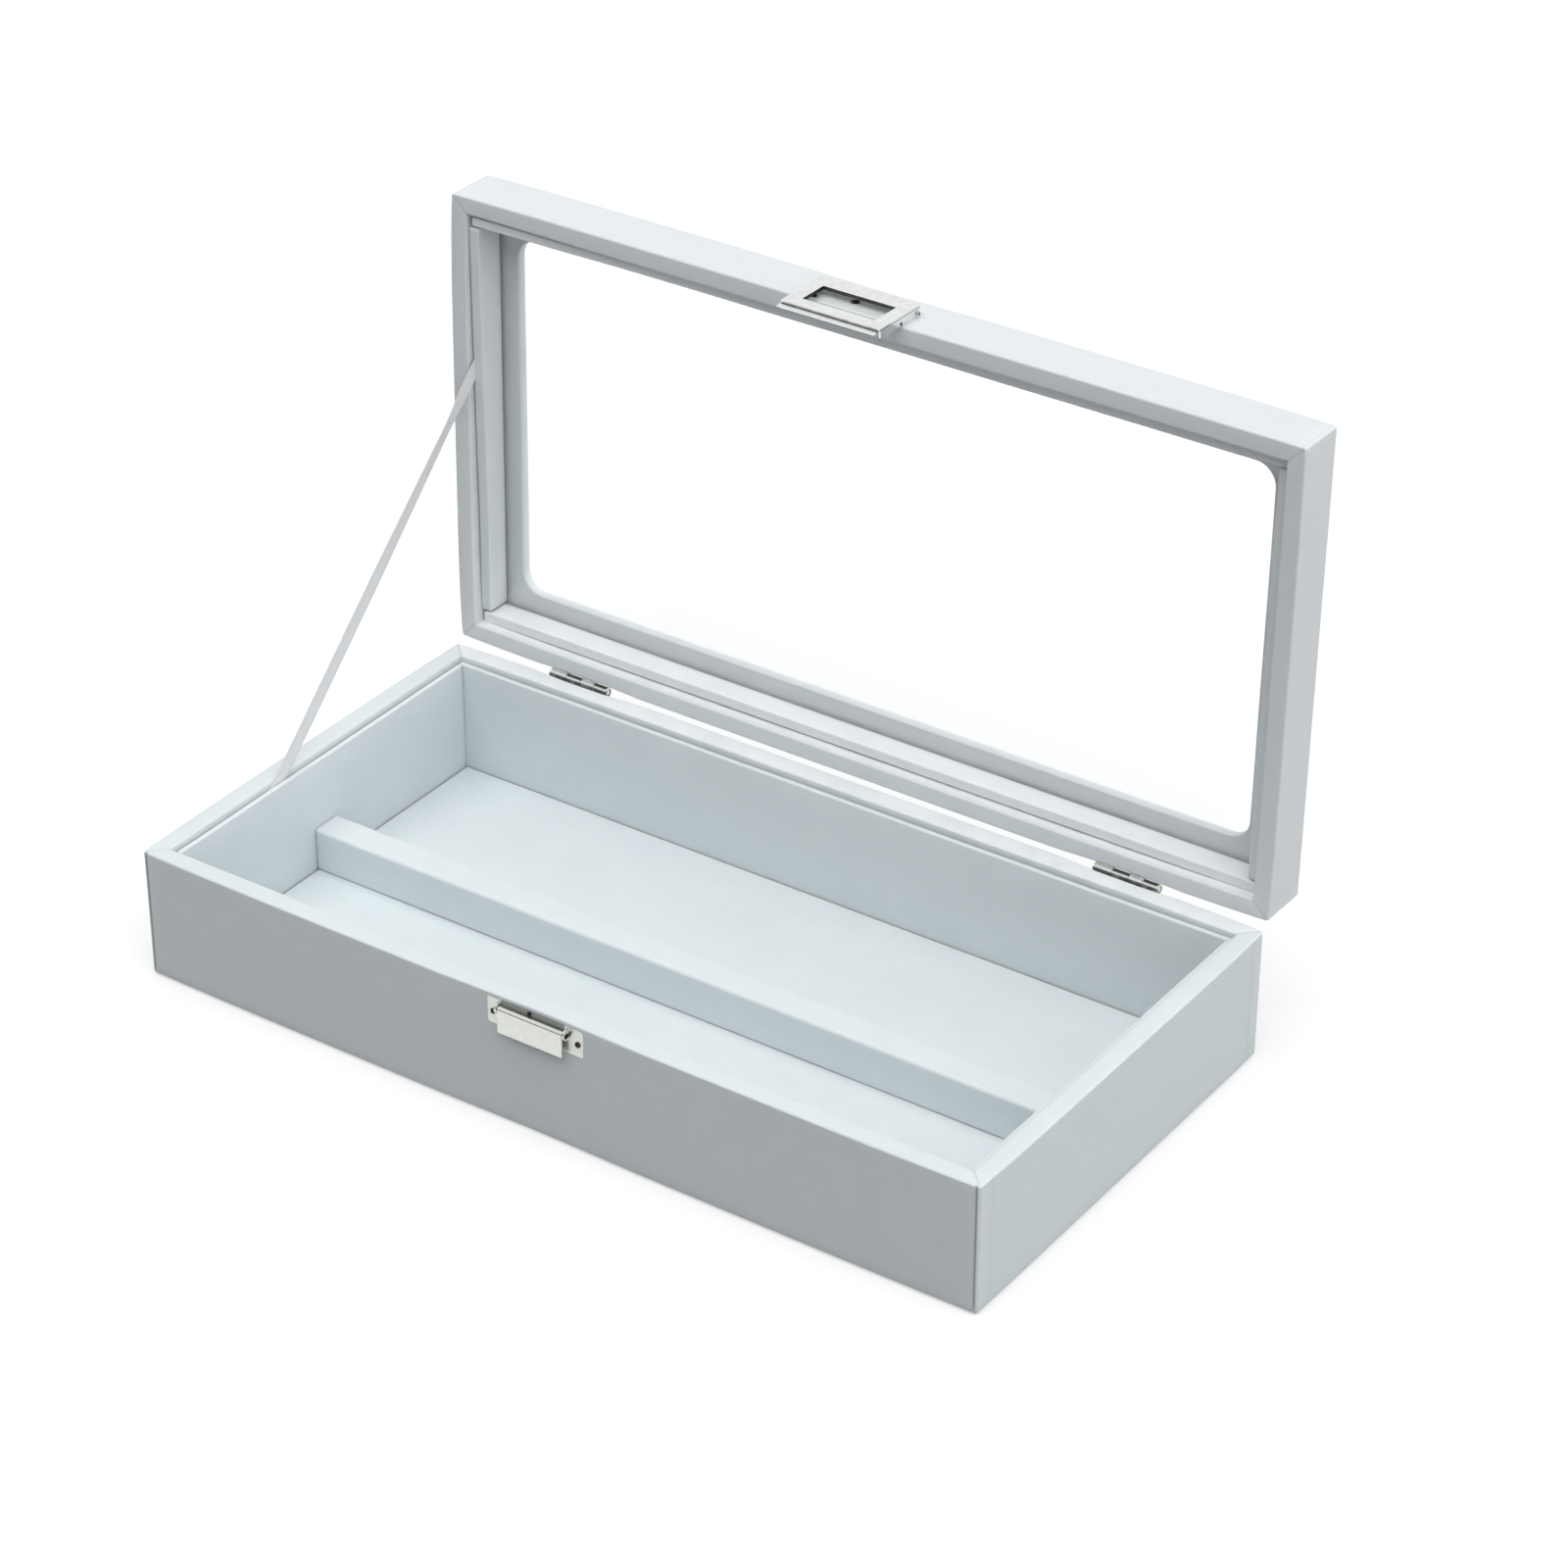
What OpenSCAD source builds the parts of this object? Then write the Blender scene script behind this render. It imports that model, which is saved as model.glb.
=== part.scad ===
// A leather-covered display box for glasses: a shallow tray with one divider, and a lid with a window,
// shown open. The front faces -Y, +X is to the right, and the box stands on z = 0.

/* [Case] */
// Width over the leather
case_w = 340; // [240:1:420]
// Depth over the leather
case_d = 175; // [130:1:240]
// Height of the base up to its rim
base_h = 50.2; // [40:0.1:80]
// Height of the lid
lid_h = 20.2; // [19:0.1:30]
// Angle from closed to open
lid_open = 91.35; // [60:0.05:110]
// Gap between the two rims when closed
rim_gap = 0.3; // [0.2:0.05:0.8]
// Radius of the upright outer corners
corner_r = 1.6; // [0.9:0.1:2]

/* [Leather and boards] */
// Thickness of the leather
skin = 0.8; // [0.6:0.05:1]
// Thickness of the side boards of the base
base_board = 5; // [4:0.1:8]
// Thickness of the side boards of the lid
lid_board = 4.8; // [4:0.1:6]
// How far the leather is turned down inside the base
base_turn = 14; // [6:0.5:20]
// How far the leather is turned down inside the lid
lid_turn = 12; // [6:0.5:12]
// Width of the leather turned under the base
hem_w = 14; // [8:0.5:25]
// Thickness of the bottom panel
bottom_t = 2.5; // [2:0.1:5]
// Thickness of the lining under the base
felt_t = 0.8; // [0.5:0.1:1.5]
// Inset of that lining from the outer faces
felt_inset = 3; // [2:0.5:7]

/* [Tray] */
// Gap between the rim wall and the liners of the base
base_liner_gap = 0.5; // [0.4:0.05:1]
// Thickness of the liners of the base
base_liner_t = 2; // [1.5:0.1:4]
// How far these liners stop below the rim
base_liner_drop = 2; // [1:0.1:6]
// Thickness of the floor pad
floor_t = 1.2; // [0.8:0.1:4]
// Gap around the floor pad and at the ends of the divider
fit_gap = 0.15; // [0.1:0.05:0.4]
// Width of the divider bar
divider_w = 12.6; // [6:0.1:20]
// Height of the divider bar above the floor
divider_h = 16.7; // [8:0.1:25]
// Middle of the divider bar, from the middle of the tray
divider_y = -2.5; // [-20:0.5:20]
// Radius of the bar's top edges
divider_r = 2; // [0.5:0.1:3]

/* [Lid] */
// Margin from the lid's outer faces to the window
window_margin = 17.5; // [14:0.5:40]
// Radius of the window's corners
window_r = 8; // [3:0.5:20]
// Depth from the lid's rim to the pane
pane_depth = 14; // [12:0.1:14.5]
// Thickness of the pane
pane_t = 1.8; // [1:0.1:2]
// Gap around the pane's edge
pane_gap = 0.3; // [0.1:0.05:0.6]
// Gap between the lid's wall and its liners
lid_liner_gap = 1.2; // [0.8:0.05:1.6]
// Thickness of the lid's liners
lid_liner_t = 3.3; // [2:0.1:5]
// How far these liners stop short of the lid's rim
lid_liner_drop = 4; // [1:0.1:8]
// Radius of the liners' free edges
liner_r = 0.9; // [0.3:0.05:1]

/* [Hinges] */
// Distance from the end faces to each hinge's middle
hinge_in = 54.3; // [20:0.1:90]
// Length of a hinge
hinge_len = 25.5; // [15:0.5:50]
// Distance of the hinge axis behind the back faces
hinge_out = 2.25; // [2.2:0.05:3]
// Radius of the knuckles
knuckle_r = 1.8; // [1.5:0.05:1.8]
// Thickness of a leaf
leaf_t = 0.8; // [0.5:0.1:1]
// Height of a leaf
leaf_h = 9.5; // [7:0.5:15]
// Distance from the axis to the edge of a leaf
leaf_edge = 1.4; // [1.4:0.05:1.8]
// Radius of the hinge pins
hinge_pin_r = 0.9; // [0.6:0.05:1.1]
// Radial clearance of every pin
pin_gap = 0.05; // [0.02:0.01:0.08]
// Gap between neighbouring knuckles
knuckle_gap = 0.1; // [0.05:0.05:0.3]
// Radius of a hinge screw's head
hinge_head_r = 1.5; // [1.2:0.1:2]
// Radius of a hinge screw's shank
hinge_shank_r = 0.8; // [0.5:0.05:1]

/* [Catch on the base] */
// Middle of the catch and the clasp, from the middle of the box
clasp_x = -1.3; // [-20:0.1:20]
// Width of the catch plate
plate_w = 39; // [34:0.1:60]
// Distance from the rim down to the catch plate
catch_top = 1.5; // [1:0.1:1.5]
// Height of the catch plate
catch_plate_h = 10.2; // [9:0.1:16]
// Thickness of the catch plate
catch_t = 0.6; // [0.4:0.05:0.7]
// Radius of the plates' corners
plate_r = 1; // [0.3:0.1:2]
// Width of the flap
flap_w = 26.4; // [16:0.1:26.6]
// How far the flap and its lugs sit to the left of the catch plate's middle
flap_shift = 0.9; // [0:0.1:0.9]
// Distance from the rim to the flap's free edge
flap_reach = 13; // [10:0.1:18]
// Thickness of the flap
flap_t = 0.6; // [0.5:0.05:0.6]
// Radius of the flap's barrel
barrel_r = 1.35; // [1.2:0.05:1.4]
// Distance from the rim down to the barrel's axis
barrel_drop = 4.6; // [4.6:0.1:6]
// Distance of the barrel's axis in front of the leather
barrel_out = 1.55; // [1.55:0.05:1.6]
// Radius of the catch's pin
catch_pin_r = 0.65; // [0.4:0.05:0.75]
// Thickness of the lugs beside the barrel
lug_t = 1; // [0.8:0.1:1]
// Gap between the barrel and each lug
lug_gap = 0.15; // [0.1:0.05:0.2]
// Radius of each lug's rounded outline
lug_r = 2; // [1.4:0.1:2]
// Radius of the hollow in the outer face of each lug
lug_hollow_r = 1; // [0.8:0.05:1]
// Depth of that hollow
lug_hollow = 0.5; // [0.2:0.05:0.5]

/* [Clasp on the lid] */
// Depth of the clasp plate's far edge behind the lid's rim
clasp_far = 14.5; // [14:0.1:16]
// Distance from the lid's rim to the near edge of the clasp plate
clasp_near = 0.6; // [0.3:0.1:0.7]
// How far each end of the clasp plate lies inside the hasp frame's side
clasp_set = 0.25; // [0:0.05:0.5]
// Thickness of the clasp plate
clasp_t = 0.8; // [0.5:0.05:0.8]
// Width of the hasp frame
hasp_w = 39.5; // [36:0.1:60]
// How far the hasp frame reaches past the lid's rim
hasp_reach = 14; // [14:0.1:16]
// Depth of the hasp frame's far edge behind the lid's rim
hasp_far = 11.2; // [11:0.1:12]
// Width of the hasp's window
hasp_win_w = 29; // [28:0.1:29]
// Near edge of the hasp's window, past the lid's rim
hasp_win_near = 8.5; // [8:0.1:10.5]
// Far edge of the hasp's window, behind the lid's rim
hasp_win_far = 4; // [4:0.1:6]
// Underside of the hasp frame, above the leather
hasp_under = 3.2; // [3.2:0.05:3.4]
// Thickness of each of the frame's two tiers
tier_t = 0.55; // [0.4:0.05:0.7]
// Height of the groove between them
groove_h = 0.25; // [0.15:0.05:0.4]
// Depth of the groove
groove_in = 0.4; // [0.2:0.05:0.6]
// How far the finger lip stands out from the frame's near edge
lip_out = 2.4; // [1:0.1:2.5]
// Thickness of the finger lip at its tip
lip_t = 0.35; // [0.3:0.05:0.5]
// Thickness of the hasp's side skirts
skirt_t = 0.7; // [0.5:0.05:0.8]
// Gap between the skirts and the clasp plate
skirt_gap = 0.3; // [0.2:0.05:0.4]
// Depth of the hasp's pin behind the lid's rim
hasp_pin_in = 9; // [8.8:0.1:9.5]
// Distance of the hasp's pin above the leather
hasp_pin_out = 2; // [2:0.05:2.2]
// Radius of the hasp's pin
hasp_pin_r = 0.5; // [0.3:0.05:0.5]
// Radius of that pin's heads
hasp_head_r = 0.9; // [0.7:0.05:1.1]
// Radius of the big middle screw's head
mid_head_r = 1.65; // [1.2:0.05:1.65]

/* [Small screws] */
// Radius of the side screws' heads
side_head_r = 1.25; // [0.9:0.05:1.25]
// Radius of the catch's middle screw's head
small_head_r = 0.85; // [0.6:0.05:0.85]
// Radius of the clasp and catch screws' shanks
shank_r = 0.5; // [0.3:0.05:0.55]
// Thickness of every screw's head
head_t = 0.5; // [0.3:0.05:0.5]
// How deep the screws go below the leather's outer face
screw_depth = 4.2; // [3:0.1:4.5]
// Clearance around every screw's shank
shank_gap = 0.05; // [0.02:0.01:0.1]

/* [Ribbon] */
// Width of the ribbon
ribbon_w = 6; // [5:0.5:14]
// Thickness of the ribbon
ribbon_t = 0.3; // [0.2:0.05:0.3]
// Middle of the ribbon, from the outer back faces
ribbon_back = 106; // [60:0.5:120]
// Clearance between the ribbon and the base's wall
ribbon_gap = 0.1; // [0.05:0.05:0.15]
// Length of the ribbon glued down behind the base's liner
ribbon_base_tail = 15; // [8:0.5:25]
// Length of the ribbon glued behind the lid's liner
ribbon_lid_tail = 10; // [6:0.5:12]

/* [Hidden] */
$fn = 48;
leather = "#cdd6da";
board = "#b9ab94";
felt = "#8d9294";
nickel = "#d8d9d3";
ribbon = "#cfcfd2";
glass = "#cfe4e440";

// Cuts run past the faces they open by this much
over = 1;
half_w = case_w / 2;
half_d = case_d / 2;
base_rim = base_board + 2 * skin;
lid_rim = lid_board + 2 * skin;
hem_z = felt_t;
board_z = felt_t + skin;
bottom_z = board_z + bottom_t;
floor_z = bottom_z + floor_t;
base_liner_in = base_rim + base_liner_gap;
tray_in = base_liner_in + base_liner_t;
lid_z = base_h + rim_gap;
lid_liner_in = lid_rim + lid_liner_gap;
lid_in = lid_liner_in + lid_liner_t;
pane_top = pane_depth + pane_t;
hinge_x = half_w - hinge_in;
hinge_y = half_d + hinge_out;
hinge_z = base_h;
// Each knuckle ends at this share of the hinge's length
knuckle_ends = [0, 0.28, 0.54, 0.76, 1];
hinge_screw_x = hinge_len * 0.3;
leaf_screw = leaf_edge + leaf_h / 2;
barrel_z = base_h - barrel_drop;
barrel_y = -half_d - barrel_out;
flap_x = clasp_x - flap_shift;
barrel_cut = barrel_r - 0.1;
side_screw_x = plate_w / 2 - 2.2;
catch_side_drop = 7;
catch_mid_x = -2.2;
catch_mid_drop = catch_top + 0.95;
clasp_plate_w = hasp_w - 2 * clasp_set;
clasp_side_x = clasp_plate_w / 2 - 2.1;
clasp_side_in = 2.5;
mid_screw_x = -3.2;
mid_screw_in = 6.5;
hasp_pin_y = -half_d - hasp_pin_out;
hasp_pin_z = lid_z + hasp_pin_in;
skirt_r = hasp_pin_out - clasp_t - skirt_gap;
hasp_lug_r = 0.95;
hasp_lug_x = hasp_w / 2 - skirt_t - 0.25;
hasp_head_x = hasp_w / 2 + 0.1;
hasp_head_t = 0.6;
lip_set = 0.3;
ribbon_x = -half_w + base_rim + ribbon_gap;
ribbon_y = half_d - ribbon_back;

// The lid is drawn closed, and this swings it open about the hinge axis
module opened() {
    translate([0, hinge_y, hinge_z])
        rotate([-lid_open, 0, 0])
            translate([0, -hinge_y, -hinge_z])
                children();
}

// A block from one corner to the opposite corner
module block(low, high) {
    translate(low)
        cube([high[0] - low[0], high[1] - low[1], high[2] - low[2]]);
}

// A cylinder along X from x1 to x2
module rod(x1, x2, y, z, r) {
    translate([x1, y, z])
        rotate([0, 90, 0])
            cylinder(r = r, h = x2 - x1);
}

// A cylinder along Y from y1 to y2
module stud(x, y1, y2, z, r) {
    translate([x, y2, z])
        rotate([90, 0, 0])
            cylinder(r = r, h = y2 - y1);
}

// An upright plate with round upright edges, centred on the origin
module rounded_plate(w, d, r, z1, z2) {
    translate([0, 0, z1])
        linear_extrude(z2 - z1)
            rounded_outline(w, d, r);
}

module rounded_outline(w, d, r) {
    square([w - 2 * r, d], center = true);
    square([w, d - 2 * r], center = true);
    for (sx = [-1, 1], sy = [-1, 1])
        translate([sx * (w / 2 - r), sy * (d / 2 - r)])
            circle(r = r);
}

// A square ring between two insets from the outer faces
module ring(inset_out, inset_in, z1, z2) {
    difference() {
        block([-half_w + inset_out, -half_d + inset_out, z1], [half_w - inset_out, half_d - inset_out, z2]);
        block([-half_w + inset_in, -half_d + inset_in, z1 - over],
              [half_w - inset_in, half_d - inset_in, z2 + over]);
    }
}

// The same ring with the outer corners rounded as the case is
module outer_ring(inset_in, z1, z2) {
    difference() {
        rounded_plate(case_w, case_d, corner_r, z1, z2);
        block([-half_w + inset_in, -half_d + inset_in, z1 - over],
              [half_w - inset_in, half_d - inset_in, z2 + over]);
    }
}

// A bar's section with two round top corners, standing on y = 0 and centred on x = 0
module round_top_section(w, h, r) {
    translate([-w / 2, 0])
        square([w, h - r]);
    translate([-w / 2 + r, h - r - 0.01])
        square([w - 2 * r, r + 0.01]);
    for (s = [-1, 1])
        translate([s * (w / 2 - r), h - r])
            circle(r = r);
}

// A card along X standing on z, with its round edge up
module card_x(x1, x2, y, z, w, h, r) {
    translate([x1, y, z])
        rotate([90, 0, 90])
            linear_extrude(x2 - x1)
                round_top_section(w, h, r);
}

// A card along Y standing on z, with its round edge up
module card_y(y1, y2, x, z, w, h, r) {
    translate([x, y2, z])
        rotate([90, 0, 0])
            linear_extrude(y2 - y1)
                round_top_section(w, h, r);
}

// The same card hanging from the pane, with its round edge down
module hung_card_x(x1, x2, y, z_top, w, h, r) {
    translate([0, 0, z_top])
        mirror([0, 0, 1])
            card_x(x1, x2, y, 0, w, h, r);
}

module hung_card_y(y1, y2, x, z_top, w, h, r) {
    translate([0, 0, z_top])
        mirror([0, 0, 1])
            card_y(y1, y2, x, 0, w, h, r);
}

// Screw holes through plates, leather and boards
module hinge_base_holes() {
    for (side = [-1, 1], s = [-1, 1])
        stud(side * hinge_x + s * hinge_screw_x, half_d - screw_depth - over, half_d + leaf_t + over,
             hinge_z - leaf_screw, hinge_shank_r + shank_gap);
}

module hinge_lid_holes() {
    for (side = [-1, 1], s = [-1, 1])
        stud(side * hinge_x + s * hinge_screw_x, half_d - screw_depth - over, half_d + leaf_t + over,
             hinge_z + leaf_screw, hinge_shank_r + shank_gap);
}

module catch_holes() {
    for (s = [-1, 1])
        stud(clasp_x + s * side_screw_x, -half_d - catch_t - over, -half_d + screw_depth + over,
             base_h - catch_side_drop, shank_r + shank_gap);
    stud(clasp_x + catch_mid_x, -half_d - catch_t - over, -half_d + screw_depth + over,
         base_h - catch_mid_drop, shank_r + shank_gap);
}

module clasp_holes() {
    for (s = [-1, 1])
        stud(clasp_x + s * clasp_side_x, -half_d - clasp_t - over, -half_d + screw_depth + over,
             lid_z + clasp_side_in, shank_r + shank_gap);
    stud(clasp_x + mid_screw_x, -half_d - clasp_t - over, -half_d + screw_depth + over,
         lid_z + mid_screw_in, shank_r + shank_gap);
}

// The base's boards: the side pair runs the full depth, the front and back stand between them
module base_end_board(side) {
    x1 = side < 0 ? -half_w + skin : half_w - skin - base_board;
    block([x1, -half_d + skin, board_z], [x1 + base_board, half_d - skin, base_h - skin]);
}

module base_long_board(side) {
    y1 = side < 0 ? -half_d + skin : half_d - skin - base_board;
    in = skin + base_board;
    block([-half_w + in, y1, board_z], [half_w - in, y1 + base_board, base_h - skin]);
}

module base_front_board() {
    color(board)
        difference() {
            base_long_board(-1);
            catch_holes();
        }
}

module base_back_board() {
    color(board)
        difference() {
            base_long_board(1);
            hinge_base_holes();
        }
}

module base_left_board() {
    color(board)
        base_end_board(-1);
}

module base_right_board() {
    color(board)
        base_end_board(1);
}

module base_bottom_panel() {
    in = skin + base_board;
    color(board)
        block([-half_w + in, -half_d + in, board_z], [half_w - in, half_d - in, bottom_z]);
}

// Leather over the outside, over the rim, down inside it and under the bottom
module base_wrap() {
    color(leather)
        difference() {
            union() {
                outer_ring(skin, hem_z, base_h);
                outer_ring(base_rim, base_h - skin, base_h);
                ring(base_rim - skin, base_rim, base_h - base_turn, base_h);
                outer_ring(hem_w, hem_z, board_z);
            }
            hinge_base_holes();
            catch_holes();
        }
}

// The sheet under the base covers the leather's turned edge and fills the space inside it
module bottom_lining() {
    color(felt) {
        block([-half_w + felt_inset, -half_d + felt_inset, 0], [half_w - felt_inset, half_d - felt_inset, felt_t]);
        block([-half_w + hem_w, -half_d + hem_w, felt_t - 0.01], [half_w - hem_w, half_d - hem_w, board_z]);
    }
}

// The tray's liners: front and back run the full width, the ends fit between them
module base_long_liner(side) {
    color(leather)
        card_x(-half_w + base_liner_in, half_w - base_liner_in, side * (half_d - base_liner_in - base_liner_t / 2),
               bottom_z, base_liner_t, base_h - base_liner_drop - bottom_z, liner_r);
}

module base_end_liner(side) {
    run = half_d - tray_in - fit_gap;
    color(leather)
        card_y(-run, run, side * (half_w - base_liner_in - base_liner_t / 2),
               bottom_z, base_liner_t, base_h - base_liner_drop - bottom_z, liner_r);
}

module base_front_liner() {
    base_long_liner(-1);
}

module base_back_liner() {
    base_long_liner(1);
}

module base_left_liner() {
    base_end_liner(-1);
}

module base_right_liner() {
    base_end_liner(1);
}

module floor_pad() {
    in = tray_in + fit_gap;
    color(leather)
        block([-half_w + in, -half_d + in, bottom_z], [half_w - in, half_d - in, floor_z]);
}

module divider_bar() {
    run = half_w - tray_in - fit_gap;
    color(leather)
        card_x(-run, run, divider_y, floor_z, divider_w, divider_h, divider_r);
}

// The lid's boards, as in the base, and the top board with the window cut in it
module lid_end_board(side) {
    x1 = side < 0 ? -half_w + skin : half_w - skin - lid_board;
    color(board)
        opened()
            block([x1, -half_d + skin, lid_z + skin], [x1 + lid_board, half_d - skin, lid_z + lid_h - skin]);
}

module lid_long_board(side) {
    y1 = side < 0 ? -half_d + skin : half_d - skin - lid_board;
    in = skin + lid_board;
    block([-half_w + in, y1, lid_z + skin], [half_w - in, y1 + lid_board, lid_z + lid_h - skin]);
}

module lid_front_board() {
    color(board)
        opened()
            difference() {
                lid_long_board(-1);
                clasp_holes();
            }
}

module lid_back_board() {
    color(board)
        opened()
            difference() {
                lid_long_board(1);
                hinge_lid_holes();
            }
}

module lid_left_board() {
    lid_end_board(-1);
}

module lid_right_board() {
    lid_end_board(1);
}

// The window's prism, grown by g
module window_cut(g, z1, z2) {
    rounded_plate(case_w - 2 * window_margin + 2 * g, case_d - 2 * window_margin + 2 * g, window_r + g, z1, z2);
}

module lid_top_frame() {
    in = skin + lid_board;
    z1 = lid_z + pane_top + skin;
    z2 = lid_z + lid_h - skin;
    color(board)
        opened()
            difference() {
                block([-half_w + in, -half_d + in, z1], [half_w - in, half_d - in, z2]);
                window_cut(skin, z1 - over, z2 + over);
            }
}

// The lid's leather also lines the window and the inner face around it
module lid_wrap() {
    top = lid_z + lid_h;
    face = lid_z + pane_top;
    color(leather)
        opened()
            difference() {
                union() {
                    outer_ring(skin, lid_z, top);
                    outer_ring(lid_rim, lid_z, lid_z + skin);
                    ring(lid_rim - skin, lid_rim, lid_z, lid_z + lid_turn);
                    rounded_plate(case_w, case_d, corner_r, top - skin, top);
                    ring(lid_rim - skin, window_margin + window_r + skin, face, face + skin);
                    window_cut(skin, face, top);
                }
                window_cut(0, face - over, top + over);
                hinge_lid_holes();
                clasp_holes();
            }
}

module window_pane() {
    in = lid_rim + pane_gap;
    color(glass)
        opened()
            block([-half_w + in, -half_d + in, lid_z + pane_depth], [half_w - in, half_d - in, lid_z + pane_top]);
}

module lid_long_liner(side) {
    color(leather)
        opened()
            hung_card_x(-half_w + lid_liner_in, half_w - lid_liner_in,
                        side * (half_d - lid_liner_in - lid_liner_t / 2), lid_z + pane_depth,
                        lid_liner_t, pane_depth - lid_liner_drop, liner_r);
}

module lid_end_liner(side) {
    run = half_d - lid_in - fit_gap;
    color(leather)
        opened()
            hung_card_y(-run, run, side * (half_w - lid_liner_in - lid_liner_t / 2), lid_z + pane_depth,
                        lid_liner_t, pane_depth - lid_liner_drop, liner_r);
}

module lid_front_liner() {
    lid_long_liner(-1);
}

module lid_back_liner() {
    lid_long_liner(1);
}

module lid_left_liner() {
    lid_end_liner(-1);
}

module lid_right_liner() {
    lid_end_liner(1);
}

// Knuckles of one leaf: way is 1 for the lid's leaf, above the axis, and -1 for the base's
module hinge_knuckles(x0, first, way) {
    for (k = [first, first + 2]) {
        x1 = x0 + hinge_len * knuckle_ends[k] + (k == 0 ? 0 : knuckle_gap / 2);
        x2 = x0 + hinge_len * knuckle_ends[k + 1] - (k == 3 ? 0 : knuckle_gap / 2);
        rod(x1, x2, hinge_y, hinge_z, knuckle_r);
        block([x1, half_d, way < 0 ? hinge_z - knuckle_r : hinge_z],
              [x2, hinge_y, way < 0 ? hinge_z : hinge_z + knuckle_r]);
    }
}

module hinge_base_leaf(side) {
    x0 = side * hinge_x - hinge_len / 2;
    color(nickel)
        difference() {
            union() {
                hinge_knuckles(x0, 1, -1);
                block([x0, half_d, hinge_z - leaf_edge - leaf_h], [x0 + hinge_len, half_d + leaf_t, hinge_z - leaf_edge]);
            }
            rod(x0 - over, x0 + hinge_len + over, hinge_y, hinge_z, hinge_pin_r + pin_gap);
            hinge_base_holes();
        }
}

module hinge_lid_leaf(side) {
    x0 = side * hinge_x - hinge_len / 2;
    color(nickel)
        opened()
            difference() {
                union() {
                    hinge_knuckles(x0, 0, 1);
                    block([x0, half_d, hinge_z + leaf_edge],
                          [x0 + hinge_len, half_d + leaf_t, hinge_z + leaf_edge + leaf_h]);
                }
                rod(x0 - over, x0 + hinge_len + over, hinge_y, hinge_z, hinge_pin_r + pin_gap);
                hinge_lid_holes();
            }
}

module hinge_pin(side) {
    color(nickel)
        rod(side * hinge_x - hinge_len / 2, side * hinge_x + hinge_len / 2, hinge_y, hinge_z, hinge_pin_r);
}

module left_hinge_base_leaf() {
    hinge_base_leaf(-1);
}

module right_hinge_base_leaf() {
    hinge_base_leaf(1);
}

module left_hinge_lid_leaf() {
    hinge_lid_leaf(-1);
}

module right_hinge_lid_leaf() {
    hinge_lid_leaf(1);
}

module left_hinge_pin() {
    hinge_pin(-1);
}

module right_hinge_pin() {
    hinge_pin(1);
}

// A screw driven from the back, with its head on the leaf
module back_screw(x, z) {
    stud(x, half_d - screw_depth, half_d + leaf_t + head_t / 2, z, hinge_shank_r);
    stud(x, half_d + leaf_t, half_d + leaf_t + head_t, z, hinge_head_r);
}

module hinge_base_screws() {
    color(nickel)
        for (side = [-1, 1], s = [-1, 1])
            back_screw(side * hinge_x + s * hinge_screw_x, hinge_z - leaf_screw);
}

module hinge_lid_screws() {
    color(nickel)
        opened()
            for (side = [-1, 1], s = [-1, 1])
                back_screw(side * hinge_x + s * hinge_screw_x, hinge_z + leaf_screw);
}

// A screw driven from the front through a plate of thickness t
module front_screw(x, z, t, r) {
    stud(x, -half_d - t - head_t / 2, -half_d + screw_depth, z, shank_r);
    stud(x, -half_d - t - head_t, -half_d - t, z, r);
}

// A thin upright plate on the front face, with round corners
module front_plate(w, z1, z2, t) {
    translate([clasp_x, -half_d, (z1 + z2) / 2])
        rotate([90, 0, 0])
            linear_extrude(t)
                rounded_outline(w, z2 - z1, plate_r);
}

// The catch plate with two lugs that carry the flap's pin
module catch_plate() {
    lug_in = flap_w / 2 + lug_gap;
    lug_out = lug_in + lug_t;
    color(nickel)
        difference() {
            union() {
                difference() {
                    front_plate(plate_w, base_h - catch_top - catch_plate_h, base_h - catch_top, catch_t);
                    block([flap_x - lug_in, -half_d - catch_t - over, barrel_z - barrel_cut],
                          [flap_x + lug_in, -half_d + over, barrel_z + barrel_cut]);
                }
                for (s = [-1, 1]) {
                    x1 = flap_x + (s < 0 ? -lug_out : lug_in);
                    intersection() {
                        rod(x1, x1 + lug_t, barrel_y - barrel_r + lug_r, barrel_z, lug_r);
                        block([x1 - over, barrel_y - barrel_r - over, barrel_z - lug_r - over],
                              [x1 + lug_t + over, -half_d, barrel_z + lug_r + over]);
                    }
                }
            }
            rod(flap_x - lug_out - over, flap_x + lug_out + over, barrel_y, barrel_z, catch_pin_r + pin_gap);
            for (s = [-1, 1]) {
                x1 = flap_x + (s < 0 ? -lug_out - over : lug_out - lug_hollow);
                rod(x1, x1 + lug_hollow + over, barrel_y, barrel_z, lug_hollow_r);
            }
            catch_holes();
        }
}

module catch_pin() {
    run = flap_w / 2 + lug_gap + lug_t - lug_hollow;
    color(nickel)
        rod(flap_x - run, flap_x + run, barrel_y, barrel_z, catch_pin_r);
}

module catch_screws() {
    color(nickel) {
        for (s = [-1, 1])
            front_screw(clasp_x + s * side_screw_x, base_h - catch_side_drop, catch_t, side_head_r);
        front_screw(clasp_x + catch_mid_x, base_h - catch_mid_drop, catch_t, small_head_r);
    }
}

// The flap hangs from its barrel, in line with the barrel's front
module catch_flap() {
    front = barrel_y - barrel_r;
    color(nickel)
        difference() {
            union() {
                rod(flap_x - flap_w / 2, flap_x + flap_w / 2, barrel_y, barrel_z, barrel_r);
                block([flap_x - flap_w / 2, front, base_h - flap_reach],
                      [flap_x + flap_w / 2, front + flap_t, barrel_z]);
            }
            rod(flap_x - flap_w, flap_x + flap_w, barrel_y, barrel_z, catch_pin_r + pin_gap);
        }
}

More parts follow.
